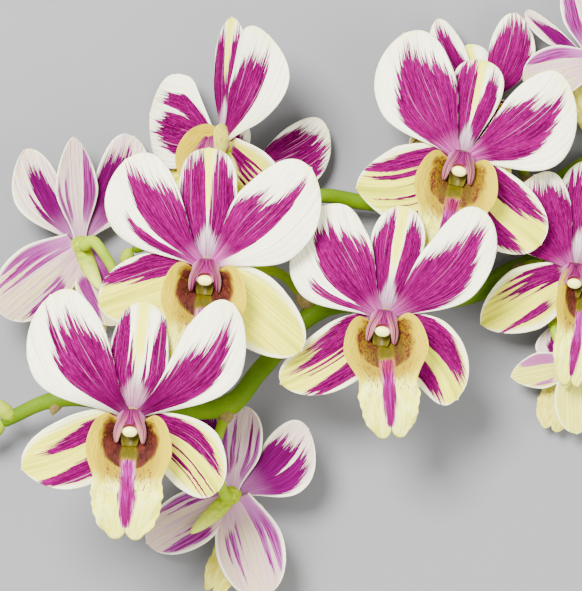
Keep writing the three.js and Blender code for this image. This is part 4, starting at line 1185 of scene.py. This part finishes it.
# %% Stem finish
def stem_material():
    board = Board("stem_green", Roughness=0.42, Specular_IOR_Level=0.08, Subsurface_Weight=0.1,
                  Subsurface_Scale=0.001)
    mix, rise = board.mix, board.rise
    young, dry = board.marks("young dry")
    cloud, grain = board.grain(90.0), board.grain(1300.0, 4.0)
    green = mix(rise(young + (cloud - 0.5) * 0.5, 0.0, 1.0), (0.066, 0.132, 0.0), (0.27, 0.39, 0.0))
    green = mix(rise(cloud, 0.5, 0.75) * 0.5, green, (0.13, 0.20, 0.0))
    green = mix(rise(grain, 0.6, 0.75) * 0.3, green, (0.06, 0.08, 0.01))
    papery = mix(rise(grain, 0.3, 0.7), (0.20, 0.07, 0.04), (0.34, 0.19, 0.11))
    board.paint("Base Color", mix(dry, green, papery))
    board.emboss(grain * 0.6 + cloud, 0.0003, 0.5)
    board.paint("Roughness", 0.36 + 0.25 * grain)
    return board.material


stem_finish = stem_material()
print("stem finish:", stem_finish.name)

# %% [markdown]
# ## One tree sweeps every tube
# The tree reads two attributes of the lines: thick, the radius, and the marks for the
# finish, which pass through to the skin. Its named inputs are the number of sides, the
# depth and size of the skin's relief, and the material.

# %% Tube tree
class Tree:
    """A Geometry Nodes tree with named inputs; each is given as socket type and default."""

    def __init__(self, name, **inputs):
        self.group = bpy.data.node_groups.new(name, "GeometryNodeTree")
        face = self.group.interface
        face.new_socket("Geometry", in_out="INPUT", socket_type="NodeSocketGeometry")
        face.new_socket("Geometry", in_out="OUTPUT", socket_type="NodeSocketGeometry")
        self.keys = {}
        for label, (kind, default) in inputs.items():
            socket = face.new_socket(label.replace("_", " "), in_out="INPUT", socket_type=f"NodeSocket{kind}")
            if default is not None:
                socket.default_value = default
            self.keys[label] = socket.identifier
        self.inlet = self.group.nodes.new("NodeGroupInput").outputs
        self.outlet = self.group.nodes.new("NodeGroupOutput").inputs

    def node(self, kind, sockets=None, output=0, **settings):
        return add_node(self.group, kind, settings, sockets or {}, output)

    def geometry(self, kind, sockets=None, **settings):
        return self.node(f"GeometryNode{kind}", sockets, **settings)

    def sum(self, operation, *terms):
        return self.node("ShaderNodeMath", dict(enumerate(terms)), operation=operation)

    def mark(self, name, data_type="FLOAT"):
        return self.geometry("InputNamedAttribute", {"Name": name}, data_type=data_type)

    def swept(self, line, radius, sides, scale):
        """A smooth closed tube along a line."""
        ring = self.geometry("CurvePrimitiveCircle", {"Radius": radius, "Resolution": sides})
        return self.geometry("CurveToMesh", {"Curve": line, "Profile Curve": ring, "Scale": scale, "Fill Caps": True})

    def finish(self, geometry):
        """Real geometry with the tree's material goes out."""
        real = self.geometry("RealizeInstances", {"Geometry": geometry})
        done = self.geometry("SetMaterial", {"Geometry": real, "Material": self.inlet["Material"]})
        self.group.links.new(done, self.outlet["Geometry"])
        return self

    def grow(self, piece, **values):
        """Run the tree on a piece and keep the result as its plain mesh."""
        modifier = piece.modifiers.new(self.group.name, "NODES")
        modifier.node_group = self.group
        for label, value in values.items():
            modifier[self.keys[label]] = value
        bpy.context.view_layer.update()
        grown = piece.evaluated_get(bpy.context.evaluated_depsgraph_get())
        mesh = bpy.data.meshes.new_from_object(grown)
        piece.modifiers.clear()
        piece.data = mesh
        return piece


FLOOR_GAP = 0.00002


def tube_tree():
    tree = Tree("Swept stems", Sides=("Int", 16), Relief_depth=("Float", 0.0001),
                Relief_size=("Float", 400.0), Material=("Material", None))
    lines = tree.geometry("MeshToCurve", {"Mesh": tree.inlet["Geometry"]})
    tube = tree.swept(lines, 1.0, tree.inlet["Sides"], tree.mark("thick"))
    bumps = tree.node("ShaderNodeTexNoise", {"Scale": tree.inlet["Relief size"], "Detail": 2.0})
    push = tree.sum("MULTIPLY", tree.sum("SUBTRACT", bumps, 0.5), tree.inlet["Relief depth"])
    outwards = tree.node("ShaderNodeVectorMath", {0: tree.geometry("InputNormal"), "Scale": push}, operation="SCALE")
    skin = tree.geometry("SetPosition", {"Geometry": tube, "Offset": outwards})
    above_floor = tree.node("ShaderNodeVectorMath", {0: tree.geometry("InputPosition"), 1: (-1.0, -1.0, FLOOR_GAP)},
                            operation="MAXIMUM")
    skin = tree.geometry("SetPosition", {"Geometry": skin, "Position": above_floor})
    return tree.finish(tree.geometry("SetShadeSmooth", {"Geometry": skin, "Shade Smooth": True}))


def bare_lines(name, lines, keys):
    """An object of lines only; columns after x, y, z become point attributes."""
    mesh = bpy.data.meshes.new(name)
    rows = np.vstack(lines)
    edges, start = [], 0
    for line in lines:
        edges += [(k, k + 1) for k in range(start, start + len(line) - 1)]
        start += len(line)
    mesh.from_pydata(((rows[:, :3] + SPRAY_SHIFT) * MM).tolist(), edges, [])
    for column, key in enumerate(keys, start=3):
        add_mark(mesh, key, rows[:, column] * (MM if key == "thick" else 1.0))
    return linked(name, mesh)


stem = bare_lines("forked_stem", stem_rows, ["thick", "young", "dry"])
tube_tree().grow(stem, Sides=18, Relief_depth=0.00025, Relief_size=260.0, Material=stem_finish)
print("stem faces:", len(stem.data.polygons))

# %% [markdown]
# ## Bracts at the pedicels' roots
# A bract repeats wherever a pedicel leaves a branch, and at one bare node, so it is one
# small sheath put on many points by Geometry Nodes, each turned along its pedicel and
# sized by a seeded random number.

# %% Bract tree
BRACT_DRY = 0.55
NODE_LEAD, BARE_LEAD = 1.0, -1.3


def bract_tree():
    tree = Tree("Bracts", Length=("Float", 0.006), Radius=("Float", 0.002), Seed=("Int", 4),
                Material=("Material", None))
    line = tree.geometry("CurvePrimitiveLine", {"Direction": (0.0, 0.0, 1.0), "Length": tree.inlet["Length"]},
                         mode="DIRECTION")
    line = tree.geometry("ResampleCurve", {"Curve": line, "Count": 14})
    share = tree.geometry("SplineParameter")
    bulge = tree.sum("SINE", tree.sum("MULTIPLY_ADD", share, 2.2, 0.9))
    sheath = tree.swept(line, tree.inlet["Radius"], 14, bulge)
    soft = tree.geometry("SetShadeSmooth", {"Geometry": sheath, "Shade Smooth": True})
    turned = tree.node("FunctionNodeAlignRotationToVector", {"Vector": tree.mark("aim", "FLOAT_VECTOR")}, axis="Z")
    size = tree.node("FunctionNodeRandomValue", {2: 0.85, 3: 1.1, "Seed": tree.inlet["Seed"]}, 1, data_type="FLOAT")
    return tree.finish(tree.geometry("InstanceOnPoints", {
        "Points": tree.inlet["Geometry"], "Instance": soft, "Rotation": turned, "Scale": size}))


def bract_points():
    places, aims = [BARE_NODE + BARE_LEAD * BARE_AIM], [BARE_AIM]
    for bloom in BLOOMS.values():
        before, root = np.array(bloom["pedicel"][-2:], float)
        aim = (before - root) / np.linalg.norm(before - root)
        places.append(root + aim * NODE_LEAD)
        aims.append(aim)
    mesh = bpy.data.meshes.new("pedicel_bracts")
    mesh.from_pydata(((np.array(places) + SPRAY_SHIFT) * MM).tolist(), [], [])
    attribute = mesh.attributes.new("aim", "FLOAT_VECTOR", "POINT")
    attribute.data.foreach_set("vector", np.array(aims, np.float32).ravel())
    return linked("pedicel_bracts", mesh)


bracts = bract_points()
bract_tree().grow(bracts, Length=0.0062, Radius=0.0023, Seed=4, Material=stem_finish)
add_mark(bracts.data, "dry", np.full(len(bracts.data.vertices), BRACT_DRY))
print("bract faces:", len(bracts.data.polygons))

# %% [markdown]
# The stem and its bracts stand for one node of the rigid model.

# %% Give the stem its place in the model
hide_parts("spray_stem")
for piece in (stem, bracts):
    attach(piece, "root")

# %% [markdown]
# ## Floor, light and camera
# The spray lies on a plain pale floor under one large soft lamp and a weak fill, as in a
# studio. The camera looks straight down with a long lens, so blooms near it and blooms
# far from it keep their true sizes.

# %% Floor
FLOOR_HALF = 2


def pale_floor():
    board = Board("pale_floor", Roughness=0.8)
    board.paint("Base Color", board.mix(board.grain(6.0), (0.16, 0.16, 0.165), (0.175, 0.175, 0.18)))
    mesh = bpy.data.meshes.new("floor")
    corners = [(x * FLOOR_HALF, y * FLOOR_HALF, 0) for x, y in ((-1, -1), (1, -1), (1, 1), (-1, 1))]
    mesh.from_pydata(corners, [], [(0, 1, 2, 3)])
    mesh.materials.append(board.material)
    floor = linked("floor", mesh)


pale_floor()
print("floor laid")

# %% Lamps
def soft_lamp(name, at, size, power):
    """A round lamp that faces the origin."""
    lamp = bpy.data.lights.new(name, "AREA")
    lamp.shape, lamp.size, lamp.energy = "DISK", size, power
    holder = linked(name, lamp)
    holder.location = at
    x, y, z = -np.array(at) / np.linalg.norm(at)
    holder.rotation_euler = (math.atan2(math.hypot(x, y), -z), 0, math.atan2(x, -y) + math.pi)


soft_lamp("key_lamp", (-0.42, 0.52, 1.4), 0.55, 96)
soft_lamp("fill_lamp", (0.8, -0.4, 1.2), 1.0, 18)
world = bpy.data.worlds.new("studio")
world.use_nodes = True
sky = world.node_tree.nodes["Background"].inputs
sky["Color"].default_value = (1.0, 1.0, 0.98, 1)
sky["Strength"].default_value = 1.45
bpy.context.scene.world = world

# %% Camera
CAMERA_HEIGHT, FOCUS_HEIGHT, VIEW_WIDTH, SENSOR = 1.5, 0.045, 0.15714, 36.0
camera_data = bpy.data.cameras.new("camera")
camera_data.sensor_fit, camera_data.sensor_width = "HORIZONTAL", SENSOR
camera_data.lens = SENSOR * (CAMERA_HEIGHT - FOCUS_HEIGHT) / VIEW_WIDTH
camera = linked("camera", camera_data)
camera.location = (SPRAY_SHIFT[0] * MM, SPRAY_SHIFT[1] * MM, CAMERA_HEIGHT)
bpy.context.scene.camera = camera
print("lens:", round(camera_data.lens, 1), "mm")
